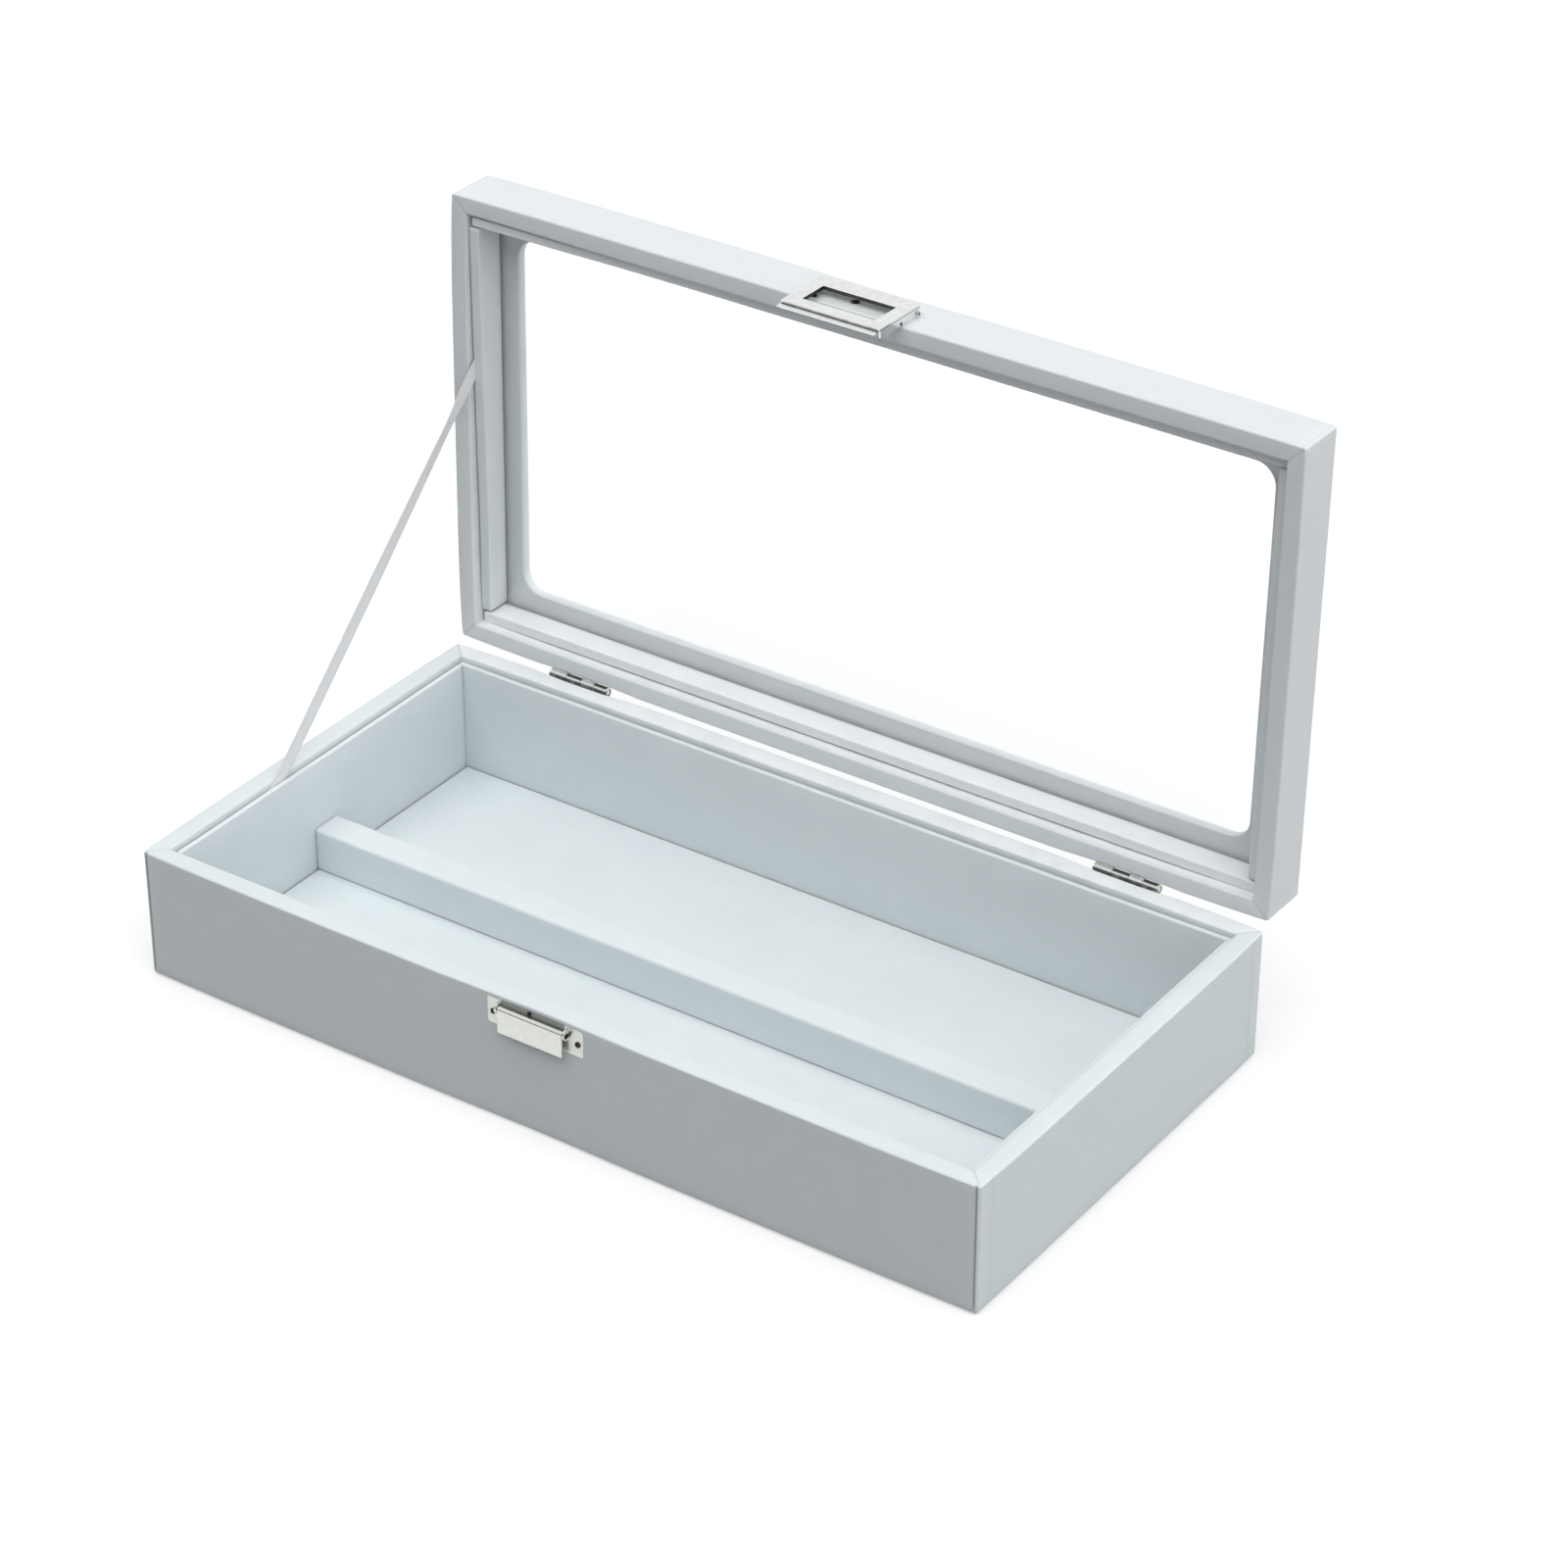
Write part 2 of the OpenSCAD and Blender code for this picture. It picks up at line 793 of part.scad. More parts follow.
// The plate on the lid with two lugs that carry the hasp's pin
module clasp_plate() {
    color(nickel)
        opened()
            difference() {
                union() {
                    front_plate(clasp_plate_w, lid_z + clasp_near, lid_z + clasp_far, clasp_t);
                    for (s = [-1, 1]) {
                        x1 = clasp_x + (s < 0 ? -hasp_lug_x : hasp_lug_x - lug_t);
                        rod(x1, x1 + lug_t, hasp_pin_y, hasp_pin_z, hasp_lug_r);
                        block([x1, hasp_pin_y, hasp_pin_z - hasp_lug_r], [x1 + lug_t, -half_d, hasp_pin_z + hasp_lug_r]);
                    }
                }
                rod(clasp_x - hasp_w, clasp_x + hasp_w, hasp_pin_y, hasp_pin_z, hasp_pin_r + pin_gap);
                clasp_holes();
            }
}

module clasp_pin() {
    color(nickel)
        opened() {
            rod(clasp_x - hasp_head_x, clasp_x + hasp_head_x, hasp_pin_y, hasp_pin_z, hasp_pin_r);
            for (s = [-1, 1]) {
                x1 = clasp_x + (s < 0 ? -hasp_head_x - hasp_head_t : hasp_head_x);
                rod(x1, x1 + hasp_head_t, hasp_pin_y, hasp_pin_z, hasp_head_r);
            }
        }
}

module clasp_screws() {
    color(nickel)
        opened() {
            for (s = [-1, 1])
                front_screw(clasp_x + s * clasp_side_x, lid_z + clasp_side_in, clasp_t, side_head_r);
            front_screw(clasp_x + mid_screw_x, lid_z + mid_screw_in, clasp_t, mid_head_r);
        }
}

// One tier of the hasp frame between heights t1 and t2 above the leather, drawn in by g
module hasp_tier(t1, t2, g) {
    z1 = lid_z - hasp_reach;
    z2 = lid_z + hasp_far;
    translate([clasp_x, -half_d - t1, (z1 + z2) / 2])
        rotate([90, 0, 0])
            linear_extrude(t2 - t1)
                rounded_outline(hasp_w - 2 * g, z2 - z1 - 2 * g, plate_r);
}

// The lip that a finger lifts the hasp by, thinning toward its tip
module finger_lip() {
    root = lid_z - hasp_reach;
    under = -half_d - hasp_under;
    translate([clasp_x - hasp_w / 2 + lip_set, 0, 0])
        rotate([90, 0, 90])
            linear_extrude(hasp_w - 2 * lip_set)
                polygon([
                    [under, root + plate_r], [under, root - lip_out], [under - lip_t, root - lip_out],
                    [under - tier_t, root], [under - tier_t, root + plate_r]
                ]);
}

// The hasp frame: two tiers with a groove between them, a window, side skirts on the pin and a finger lip
module hasp_frame() {
    tier_1 = hasp_under + tier_t;
    tier_2 = tier_1 + groove_h;
    skirt_z = lid_z - hasp_reach + plate_r;
    color(nickel)
        opened()
            difference() {
                union() {
                    hasp_tier(hasp_under, tier_1, 0);
                    hasp_tier(tier_1 - 0.01, tier_2 + 0.01, groove_in);
                    hasp_tier(tier_2, tier_2 + tier_t, 0);
                    finger_lip();
                    for (s = [-1, 1]) {
                        x1 = clasp_x + (s < 0 ? -hasp_w / 2 : hasp_w / 2 - skirt_t);
                        block([x1, -half_d - tier_1, skirt_z], [x1 + skirt_t, hasp_pin_y + skirt_r, hasp_pin_z]);
                        block([x1, -half_d - tier_1, hasp_pin_z - 0.01], [x1 + skirt_t, hasp_pin_y, hasp_pin_z + skirt_r]);
                        rod(x1, x1 + skirt_t, hasp_pin_y, hasp_pin_z, skirt_r);
                    }
                }
                block([clasp_x - hasp_win_w / 2, -half_d - tier_2 - tier_t - over, lid_z - hasp_win_near],
                      [clasp_x + hasp_win_w / 2, -half_d - hasp_under + 0.01, lid_z + hasp_win_far]);
                rod(clasp_x - hasp_w, clasp_x + hasp_w, hasp_pin_y, hasp_pin_z, hasp_pin_r + pin_gap);
            }
}

// The ribbon runs straight from behind the base's liner to behind the lid's, held taut by the open lid
module lid_stay() {
    foot = [ribbon_y, base_h];
    reach = hinge_y - ribbon_y;
    head = [
        hinge_y - reach * cos(lid_open) + rim_gap * sin(lid_open),
        hinge_z + reach * sin(lid_open) + rim_gap * cos(lid_open)
    ];
    run = head - foot;
    color(ribbon)
        translate([ribbon_x, foot[0], foot[1]])
            rotate([atan2(run[1], run[0]), 0, 0])
                block([0, -ribbon_base_tail, -ribbon_w / 2],
                      [ribbon_t, norm(run) + ribbon_lid_tail, ribbon_w / 2]);
}

base_front_board();
base_back_board();
base_left_board();
base_right_board();
base_bottom_panel();
base_wrap();
bottom_lining();
base_front_liner();
base_back_liner();
base_left_liner();
base_right_liner();
floor_pad();
divider_bar();
lid_front_board();
lid_back_board();
lid_left_board();
lid_right_board();
lid_top_frame();
lid_wrap();
window_pane();
lid_front_liner();
lid_back_liner();
lid_left_liner();
lid_right_liner();
left_hinge_base_leaf();
right_hinge_base_leaf();
left_hinge_lid_leaf();
right_hinge_lid_leaf();
left_hinge_pin();
right_hinge_pin();
hinge_base_screws();
hinge_lid_screws();
catch_plate();
catch_pin();
catch_screws();
catch_flap();
clasp_plate();
clasp_pin();
clasp_screws();
hasp_frame();
lid_stay();
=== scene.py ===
import math
import bmesh
import bpy
from mathutils import Matrix, Vector, noise


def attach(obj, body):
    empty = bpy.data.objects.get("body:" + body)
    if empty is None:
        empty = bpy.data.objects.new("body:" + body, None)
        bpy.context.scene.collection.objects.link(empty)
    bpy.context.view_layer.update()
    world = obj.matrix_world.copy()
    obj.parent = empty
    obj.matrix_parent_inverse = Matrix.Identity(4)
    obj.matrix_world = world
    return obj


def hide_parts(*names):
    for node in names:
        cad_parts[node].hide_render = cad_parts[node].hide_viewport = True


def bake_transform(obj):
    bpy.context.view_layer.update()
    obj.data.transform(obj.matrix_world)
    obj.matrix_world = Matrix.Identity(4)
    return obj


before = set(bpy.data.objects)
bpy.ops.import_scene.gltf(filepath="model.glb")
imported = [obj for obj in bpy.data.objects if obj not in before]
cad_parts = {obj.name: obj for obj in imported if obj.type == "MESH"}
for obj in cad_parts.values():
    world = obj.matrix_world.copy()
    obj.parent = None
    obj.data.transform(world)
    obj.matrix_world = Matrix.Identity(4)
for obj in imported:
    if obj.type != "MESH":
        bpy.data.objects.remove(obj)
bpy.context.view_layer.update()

# The studio
# A long lens looks down on the open box from its front right. A broad soft lamp overhead, a small one low
# on the right and a pale surround light it, and the table is white.
show = bpy.context.scene.collection.objects.link
view_side = math.radians(35.01)
view_down = math.radians(32.72)
view_roll = math.radians(-0.17)
back = Vector((math.sin(view_side) * math.cos(view_down), -math.cos(view_side) * math.cos(view_down),
               math.sin(view_down)))
level = Vector((math.cos(view_side), math.sin(view_side), 0))
upward = back.cross(level)
across = level * math.cos(view_roll) + upward * math.sin(view_roll)
up = upward * math.cos(view_roll) - level * math.sin(view_roll)
picture_px = 1600
focal_px = 4771.4
sight_x_px, sight_y_px = 773.5, 906.7
camera_data = bpy.data.cameras.new("camera")
camera_data.sensor_width = 36
camera_data.lens = focal_px / picture_px * 36
camera_data.shift_x = (picture_px / 2 - sight_x_px) / picture_px
camera_data.shift_y = (sight_y_px - picture_px / 2) / picture_px
camera_data.clip_end = 20
camera = bpy.data.objects.new("camera", camera_data)
eye = Vector((0, 0, 0.051)) + level * 0.0211 + back * 1.579
camera.matrix_world = Matrix((
    (across.x, up.x, back.x, eye.x),
    (across.y, up.y, back.y, eye.y),
    (across.z, up.z, back.z, eye.z),
    (0, 0, 0, 1)))
show(camera)
bpy.context.scene.camera = camera
bpy.context.scene.view_settings.view_transform = "Standard"

lamp_data = bpy.data.lights.new("overhead_softbox", "SUN")
lamp_data.energy = 2.65
lamp_data.angle = math.radians(70)
lamp = bpy.data.objects.new("overhead_softbox", lamp_data)
lamp.rotation_euler = Vector((-0.06, 0.27, -1)).to_track_quat("-Z", "Y").to_euler()
lamp.visible_glossy = False
show(lamp)
lamp_data = bpy.data.lights.new("side_softbox", "AREA")
lamp_data.energy = 0.9
lamp_data.size = 0.5
lamp = bpy.data.objects.new("side_softbox", lamp_data)
aim = Vector((-1, -0.32, 0)).to_track_quat("-Z", "Y")
lamp.matrix_world = Matrix.Translation((1.0, 0.4, 0.14)) @ aim.to_matrix().to_4x4()
lamp.visible_glossy = False
show(lamp)


class Wire:
    """A socket in a finish's node tree. Sums written with it become Math nodes."""

    def __init__(self, finish, socket):
        self.finish = finish
        self.socket = socket

    def maths(self, operation, *terms):
        return self.finish.node("ShaderNodeMath", {"operation": operation}, dict(enumerate(terms)))

    def __add__(self, other):
        return self.maths("ADD", self, other)

    def __radd__(self, other):
        return self.maths("ADD", other, self)

    def __sub__(self, other):
        return self.maths("SUBTRACT", self, other)

    def __rsub__(self, other):
        return self.maths("SUBTRACT", other, self)

    def __mul__(self, other):
        return self.maths("MULTIPLY", self, other)

    def __rmul__(self, other):
        return self.maths("MULTIPLY", other, self)

    def __truediv__(self, other):
        return self.maths("DIVIDE", self, other)

    def __rtruediv__(self, other):
        return self.maths("DIVIDE", other, self)

    def __pow__(self, other):
        return self.maths("POWER", self, other)

    def __abs__(self):
        return self.maths("ABSOLUTE", self)

    def least(self, other):
        return self.maths("MINIMUM", self, other)

    def most(self, other):
        return self.maths("MAXIMUM", self, other)

    def fade(self, start, end, low=0.0, high=1.0):
        """Goes smoothly from low to high as this value goes from start to end."""
        return self.finish.node("ShaderNodeMapRange", {"interpolation_type": "SMOOTHSTEP"},
                                {0: self, 1: start, 2: end, 3: low, 4: high})


class Finish:
    """A node tree under construction, for a material, for the surround or for the screws."""

    def __init__(self, tree):
        self.tree = tree

    def node(self, kind, settings, sockets, give=0):
        """Adds a node, with its settings first. A list links each of its wires to the one socket."""
        made = self.tree.nodes.new(kind)
        for name, value in settings.items():
            setattr(made, name, value)
        for name, value in sockets.items():
            if isinstance(value, (Wire, list)):
                for wire in value if isinstance(value, list) else [value]:
                    self.tree.links.new(wire.socket, made.inputs[name])
            else:
                made.inputs[name].default_value = value
        return Wire(self, made.outputs[give]) if made.outputs else None

    def blend_colours(self, amount, first, second):
        return self.node("ShaderNodeMix", {"data_type": "RGBA"}, {0: amount, 6: first, 7: second}, 2)

    def mottle(self, where, scale, detail, **more):
        """Cloudy noise, from 0 to 1."""
        return self.node("ShaderNodeTexNoise", {},
                         {"Vector": where, "Scale": scale, "Detail": detail, **more})

    def on_piece(self):
        """The place on the piece, in metres."""
        return self.node("ShaderNodeTexCoord", {}, {}, "Object")

    def apart(self, where):
        """The x, y and z of a place or a direction."""
        return (self.node("ShaderNodeSeparateXYZ", {}, {0: where}, i) for i in range(3))

    def seen_rays(self):
        """The glossy rays, and those by which a thing is seen straight, mirrored or through glass."""
        rays = [self.node("ShaderNodeLightPath", {}, {}, give)
                for give in ("Is Camera Ray", "Is Glossy Ray", "Is Transmission Ray")]
        return rays[1], rays[0].most(rays[1]).most(rays[2])


surround = bpy.data.worlds.new("surround")
bpy.context.scene.world = surround
surround.use_nodes = True
surround.node_tree.nodes.clear()
air = Finish(surround.node_tree)
glossy, seen = air.seen_rays()
heading = air.node("ShaderNodeTexCoord", {}, {}, "Generated")
east, north, height = air.apart(heading)
all_round, from_east, from_west, from_north = 0.11, 1.49, 0.39, 0.72
fill = (all_round + east.most(0.0) ** 2.0 * from_east + (0.0 - east).most(0.0) ** 2.0 * from_west
        + north.most(0.0) ** 2.0 * from_north)
unlit = height.fade(-0.06, 0.06) * height.fade(0.28, 0.5, 1, 0) * north.fade(-0.55, -0.2, 1, 0)
mirrored = 1 - glossy * unlit * 0.85
glow = air.node("ShaderNodeBackground", {}, {"Color": (0.985, 1, 1.01, 1),
                                             "Strength": seen * mirrored + (1 - seen) * fill})
air.node("ShaderNodeOutputWorld", {}, {"Surface": glow})

table_mesh = bpy.data.meshes.new("table")
table_mesh.from_pydata([(-8, -8, 0), (8, -8, 0), (8, 8, 0), (-8, 8, 0)], [], [(0, 1, 2, 3)])
table = bpy.data.objects.new("table", table_mesh)
show(table)
table_paint = bpy.data.materials.new("table_paint")
table_paint.use_nodes = True
table_paint.node_tree.nodes.clear()
paint = Finish(table_paint.node_tree)
_, seen = paint.seen_rays()
white = paint.blend_colours(seen, (0.18, 0.18, 0.18, 1), (0.93, 0.93, 0.93, 1))
matt = paint.node("ShaderNodeBsdfDiffuse", {}, {"Color": white})
lit = paint.node("ShaderNodeEmission", {}, {"Color": (1, 1, 1, 1), "Strength": 1.0})
paint.node("ShaderNodeOutputMaterial", {}, {
    "Surface": paint.node("ShaderNodeMixShader", {}, {0: seen * 0.5, 1: matt, 2: lit})})
table_mesh.materials.append(table_paint)


# Boards inside the walls
# Grey-brown pressed board, cut square and glued at the corners. The leather hides it, but its edges and
# faces are as rough and flecked as the real board is.
def new_finish(name):
    made = bpy.data.materials.new(name)
    made.use_nodes = True
    made.node_tree.nodes.clear()
    return made, Finish(made.node_tree)


def surface(finish, sockets, bump=None, depth=0.0):
    """Ends a finish in a Principled shader, with its fixed values on the shader's own sockets."""
    if bump is not None:
        sockets = dict(sockets)
        sockets["Normal"] = finish.node("ShaderNodeBump", {}, {"Height": bump, "Distance": depth})
    shader = finish.node("ShaderNodeBsdfPrincipled", {}, sockets)
    finish.node("ShaderNodeOutputMaterial", {}, {"Surface": shader})


def wear_finish(node, finish):
    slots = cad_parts[node].data.materials
    slots.clear()
    slots.append(finish)


board_finish, tree = new_finish("pressed_board")
where = tree.on_piece()
fibres = tree.mottle(where, 900.0, 6.0, Roughness=0.7)
flecks = tree.mottle(where, 2600.0, 2.0)
board_colour = tree.blend_colours(fibres.fade(0.35, 0.65), (0.36, 0.31, 0.24, 1), (0.46, 0.41, 0.33, 1))
board_colour = tree.blend_colours(flecks.fade(0.62, 0.72) * 0.5, board_colour, (0.2, 0.16, 0.12, 1))
surface(tree, {"Base Color": board_colour, "Roughness": fibres.fade(0.3, 0.7, 0.8, 0.95)}, fibres, 0.0002)
for node in ("base_front_board", "base_back_board", "base_left_board", "base_right_board",
             "base_bottom_panel", "lid_front_board", "lid_back_board", "lid_left_board", "lid_right_board",
             "lid_top_frame"):
    wear_finish(node, board_finish)


# The leather of the base
# One pale blue-grey coated skin, glued over the outside, over the rim and down inside it, and turned
# under the bottom. It is folded over itself along the mitre at each corner of the rim.
def pale_leather(name, deep, light, lightened):
    """Coated leather whose colour drifts between deep and light. Its paler marks are wear and painted light,
    and its dark marks are painted shade.
    """
    made, tree = new_finish(name)
    where = tree.on_piece()
    cells = tree.node("ShaderNodeTexVoronoi", {"feature": "DISTANCE_TO_EDGE"},
                      {"Vector": where, "Scale": 2100.0})
    fine = tree.mottle(where, 5200.0, 3.0)
    soft = tree.mottle(where, 85.0, 3.0, Roughness=0.55)
    broad = tree.mottle(where, 16.0, 2.0)
    crease = tree.node("ShaderNodeAttribute", {"attribute_name": "crease"}, {}, "Fac")
    rub = tree.node("ShaderNodeAttribute", {"attribute_name": "rub"}, {}, "Fac")
    pebble = cells.fade(0.0, 0.22)
    tone = tree.blend_colours(soft.fade(0.35, 0.65) * 0.6 + broad.fade(0.3, 0.7) * 0.4, deep, light)
    tone = tree.blend_colours((1 - pebble) * 0.12, tone, (0.5, 0.54, 0.56, 1))
    tone = tree.blend_colours(rub * soft.fade(0.3, 0.7, 0.55, 0.95), tone, lightened)
    tone = tree.blend_colours(crease * 0.85, tone, (0.16, 0.17, 0.18, 1))
    surface(tree, {
        "Base Color": tone,
        "Roughness": soft.fade(0.3, 0.7, 0.46, 0.54) - rub * 0.06 + (1 - pebble) * 0.06,
        "Specular IOR Level": 0.42,
    }, pebble * 0.5 + fine * 0.25 + soft * 0.8, 0.00007)
    return made


leather_finish = pale_leather("pale_leather", (0.650, 0.702, 0.719, 1), (0.672, 0.722, 0.738, 1),
                              (0.80, 0.825, 0.835, 1))
case_w, case_d = 0.340, 0.175
base_h = 0.0502
base_rim = 0.0066


def corner_path(half_w, half_d, radius):
    """Points round a rectangle with round corners, crowded towards the corners, and each point's nearness
    along the path to its corner's mitre."""
    near = (0.0003, 0.0006, 0.001, 0.0016, 0.0028, 0.0045, 0.0058, 0.0061, 0.0064, 0.0068, 0.010, 0.016)
    bends = 10
    path = []
    corners = [(half_w, -half_d, -90), (half_w, half_d, 0), (-half_w, half_d, 90), (-half_w, -half_d, 180)]
    for k, (cx, cy, turn) in enumerate(corners):
        centre = Vector((math.copysign(abs(cx) - radius, cx), math.copysign(abs(cy) - radius, cy)))
        for j in range(bends + 1):
            a = math.radians(turn + 90 * j / bends)
            path.append((centre + radius * Vector((math.cos(a), math.sin(a))),
                         radius * abs(j / bends - 0.5) * 1.57))
        full = case_d if k % 2 == 0 else case_w
        steps = 8 if k % 2 == 0 else 18
        shares = [n / full for n in near]
        middle = [shares[-1] + (1 - 2 * shares[-1]) * (j + 1) / (steps + 1) for j in range(steps)]
        shares = shares + middle + [1 - s for s in reversed(shares)]
        nx, ny, _ = corners[(k + 1) % 4]
        there = Vector((math.copysign(abs(nx) - radius, nx), math.copysign(abs(ny) - radius, ny)))
        a = math.radians(turn + 90)
        start = centre + radius * Vector((math.cos(a), math.sin(a)))
        stop = there + radius * Vector((math.cos(a), math.sin(a)))
        for s in shares:
            path.append((start.lerp(stop, s), radius * 0.785 + min(s, 1 - s) * full))
    return path


def arc(inset, height, radius, start, sweep, steps):
    """Part of a section: points on a circle about (inset, height), with angles in degrees."""
    return [(inset + radius * math.cos(math.radians(start + sweep * j / steps)),
             height + radius * math.sin(math.radians(start + sweep * j / steps))) for j in range(steps + 1)]


def belly(x, y, inset, near_rim, rim, amounts, pressed):
    """How far the wall at (x, y) has bellied outward, as (x, y). amounts gives it at the rim, at the far
    edge and on the inner face, for the front, right, back and left walls. near_rim is 1 at the rim and 0 at
    the far edge, and pressed(x, y) is how firmly fittings hold the wall flat, up to 1."""
    half_w, half_d = case_w / 2 - inset, case_d / 2 - inset
    on_end = abs(x) > half_w - 0.00001
    if not on_end and abs(y) < half_d - 0.00001:
        return 0.0, 0.0
    at_rim, far, inner = amounts[(1 if x > 0 else 3) if on_end else (2 if y > 0 else 0)]
    share = y / half_d if on_end else x / half_w
    depth = min(1.0, inset / rim)
    held = 0.0 if on_end else pressed(x, y)
    push = (far + (at_rim - far) * near_rim) * (1 - depth) * (1 - held) + inner * depth
    push *= (1 - share ** 6) * max(0.0, 1 - max(0.0, inset - rim) / 0.005)
    return (math.copysign(push, x), 0.0) if on_end else (0.0, math.copysign(push, y))


def put_together(name, made, finishes, place=Matrix.Identity(4)):
    """Turns a built shape into a piece of the box, with its place in its mesh."""
    mesh = bpy.data.meshes.new(name)
    made.to_mesh(mesh)
    made.free()
    mesh.transform(place)
    for finish in finishes:
        mesh.materials.append(finish)
    piece = bpy.data.objects.new(name, mesh)
    show(piece)
    return piece


def mark(piece, label, values):
    """Gives each point of a piece a value that its finish reads."""
    piece.data.attributes.new(label, "FLOAT", "POINT").data.foreach_set("value", values)


# Where shade and light are painted on the leather: painted shade at its seams and mitres and on the lid's
# bezel, and painted light on the cut round the window.
seam_at = 0.0068
mitre_w = 0.0005
bezel_below = 0.016
bezel_edge = 0.0095
cut_pale_from = 0.0168
cut_pale_over = 0.0039


def wrap_leather(name, section, place, seed, rim, amounts, pressed, rimward, seam, lightened, finish):
    """Sweeps a closed section of (inset, height, corner radius, part) round the case. A top is folded
    along its mitres, and a side has its seam beside the corner; both have painted shade along them. The
    given part is painted pale on the hinge side and a cut edge is painted paler toward the outside, both as
    painted light, and the bezel has painted shade beside the lid's left card."""
    rings = []
    folds_and_shade = []
    paling = []
    for inset, height, radius, part in section:
        ring = []
        for p, nearness in corner_path(case_w / 2 - inset, case_d / 2 - inset, radius):
            x, y, z = p.x, p.y, height
            fold_and_shade = 0.0
            if part != "hidden":
                push = noise.noise(Vector((x * 38 + seed, y * 38, z * 60))) * 0.00008
                if part in ("top", "flat", "cut"):
                    z += push
                    # The mitres fold in, with painted shade along the folds; the lid's bezel has painted
                    # shade beside its left card.
                    if part == "top":
                        fold_and_shade = 0.25 * math.exp(-(nearness / mitre_w) ** 2)
                    elif part == "flat" and height < bezel_below and x < -case_w / 2 + inset + 0.00001:
                        fold_and_shade = 0.15 * math.exp(-(max(0.0, inset - bezel_edge) / 0.005) ** 2)
                else:
                    on_end = abs(x) > case_w / 2 - inset - 0.00001
                    lap = 0.00015 * seam if part == "side" and on_end and nearness < seam_at else 0.0
                    # Painted shade in a line along the seam at each end, and along the front and back faces
                    # beside each upright corner.
                    if part == "side" and on_end:
                        fold_and_shade = 0.12 * seam * math.exp(-((nearness - seam_at) / 0.0004) ** 2)
                    elif part == "side":
                        fold_and_shade = seam * math.exp(-((case_w / 2 - inset - abs(x) - 0.0012) / 0.0004) ** 2)
                    x += math.copysign(push * on_end + lap, x)
                    y += math.copysign(push * (not on_end), y)
            out_x, out_y = belly(p.x, p.y, inset, rimward(height), rim, amounts, pressed)
            ring.append(Vector((x + out_x, y + out_y, z)))
            folds_and_shade.append(fold_and_shade)
            # Painted light: the given part is painted pale on the hinge side, and the window's cut is
            # painted paler towards the outside. Near the corners the leather is a little paler where it is
            # worn.
            hinge_side = part == lightened and p.y > case_d / 2 - inset - 0.00001
            if part == "cut":
                paling.append(max(0.0, 1.5 * (height - cut_pale_from) / cut_pale_over))
            elif hinge_side:
                paling.append(1.0)
            else:
                paling.append(0.0 if part == "hidden" else 0.2 * math.exp(-(nearness / 0.004) ** 2))
        rings.append(ring)
    count = len(rings[0])
    made = bmesh.new()
    verts = [[made.verts.new(p) for p in ring] for ring in rings]
    for i in range(len(rings)):
        for j in range(count):
            a, b = verts[i], verts[(i + 1) % len(rings)]
            made.faces.new((a[j], a[(j + 1) % count], b[(j + 1) % count], b[j]))
    bmesh.ops.recalc_face_normals(made, faces=made.faces)
    made.normal_update()
    made.verts.ensure_lookup_table()
    for v, fold_and_shade in zip(made.verts, folds_and_shade):
        v.co -= v.normal * fold_and_shade * 0.00030
    for face in made.faces:
        face.smooth = True
    piece = put_together(name, made, [finish], place)
    mark(piece, "crease", folds_and_shade)
    mark(piece, "rub", paling)
    return piece


outer_r = 0.0009


def graded(points, part):
    """Adds the corner radius that a sheet turned in from the outer corners has at each inset."""
    return [(i, h, max(outer_r - i, 0.0002), part) for i, h in points]


leather_t = 0.0008
roll_r = 0.0007
section = graded([(0.014, leather_t), (0.008, leather_t), (0.003, leather_t)], "hidden")
section += graded(arc(roll_r, 0.0015, roll_r, 270, -90, 4), "hidden")
section += graded([(0, 0.004), (0, 0.010), (0, 0.018), (0, 0.027), (0, 0.036), (0, 0.043), (0, 0.0480)],
                  "side")
section += graded(arc(roll_r, base_h - roll_r, roll_r, 180, -60, 4), "side")
section += graded(arc(roll_r, base_h - roll_r, roll_r, 110, -20, 2), "top")
section += graded([(0.0018, base_h + 0.00004), (0.0033, base_h + 0.00006), (0.0048, base_h + 0.00004)],
                  "top")
section += graded(arc(base_rim - roll_r, base_h - roll_r, roll_r, 90, -90, 5), "top")
section += graded([(base_rim, base_h - 0.004), (base_rim, base_h - 0.008), (base_rim, base_h - 0.014)],
                  "inside")
section += graded([(base_rim - leather_t, base_h - 0.014), (base_rim - leather_t, base_h - leather_t),
                   (leather_t, base_h - leather_t), (leather_t, 0.0016), (0.014, 0.0016)], "hidden")
clasp_x = -0.0013
hinge_x = 0.1157


def base_fittings(x, y):
    """How firmly the catch and the hinges' leaves hold the wall flat."""
    if y < 0:
        return 0.85 * math.exp(-((x - clasp_x) / 0.026) ** 4)
    return 0.8 * math.exp(-((abs(x) - hinge_x) / 0.018) ** 4)


base_wrap = wrap_leather("base_leather", section, Matrix.Identity(4), 3.0, base_rim,
                         [(0.00085, 0.0006, 0), (0.0008, 0.0002, 0), (0.0017, 0.0008, 0.0007),
                          (0.0008, 0.0003, 0)],
                         base_fittings, lambda height: height / base_h, 0.9, "top", leather_finish)
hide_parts("base_wrap")
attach(base_wrap, "base")


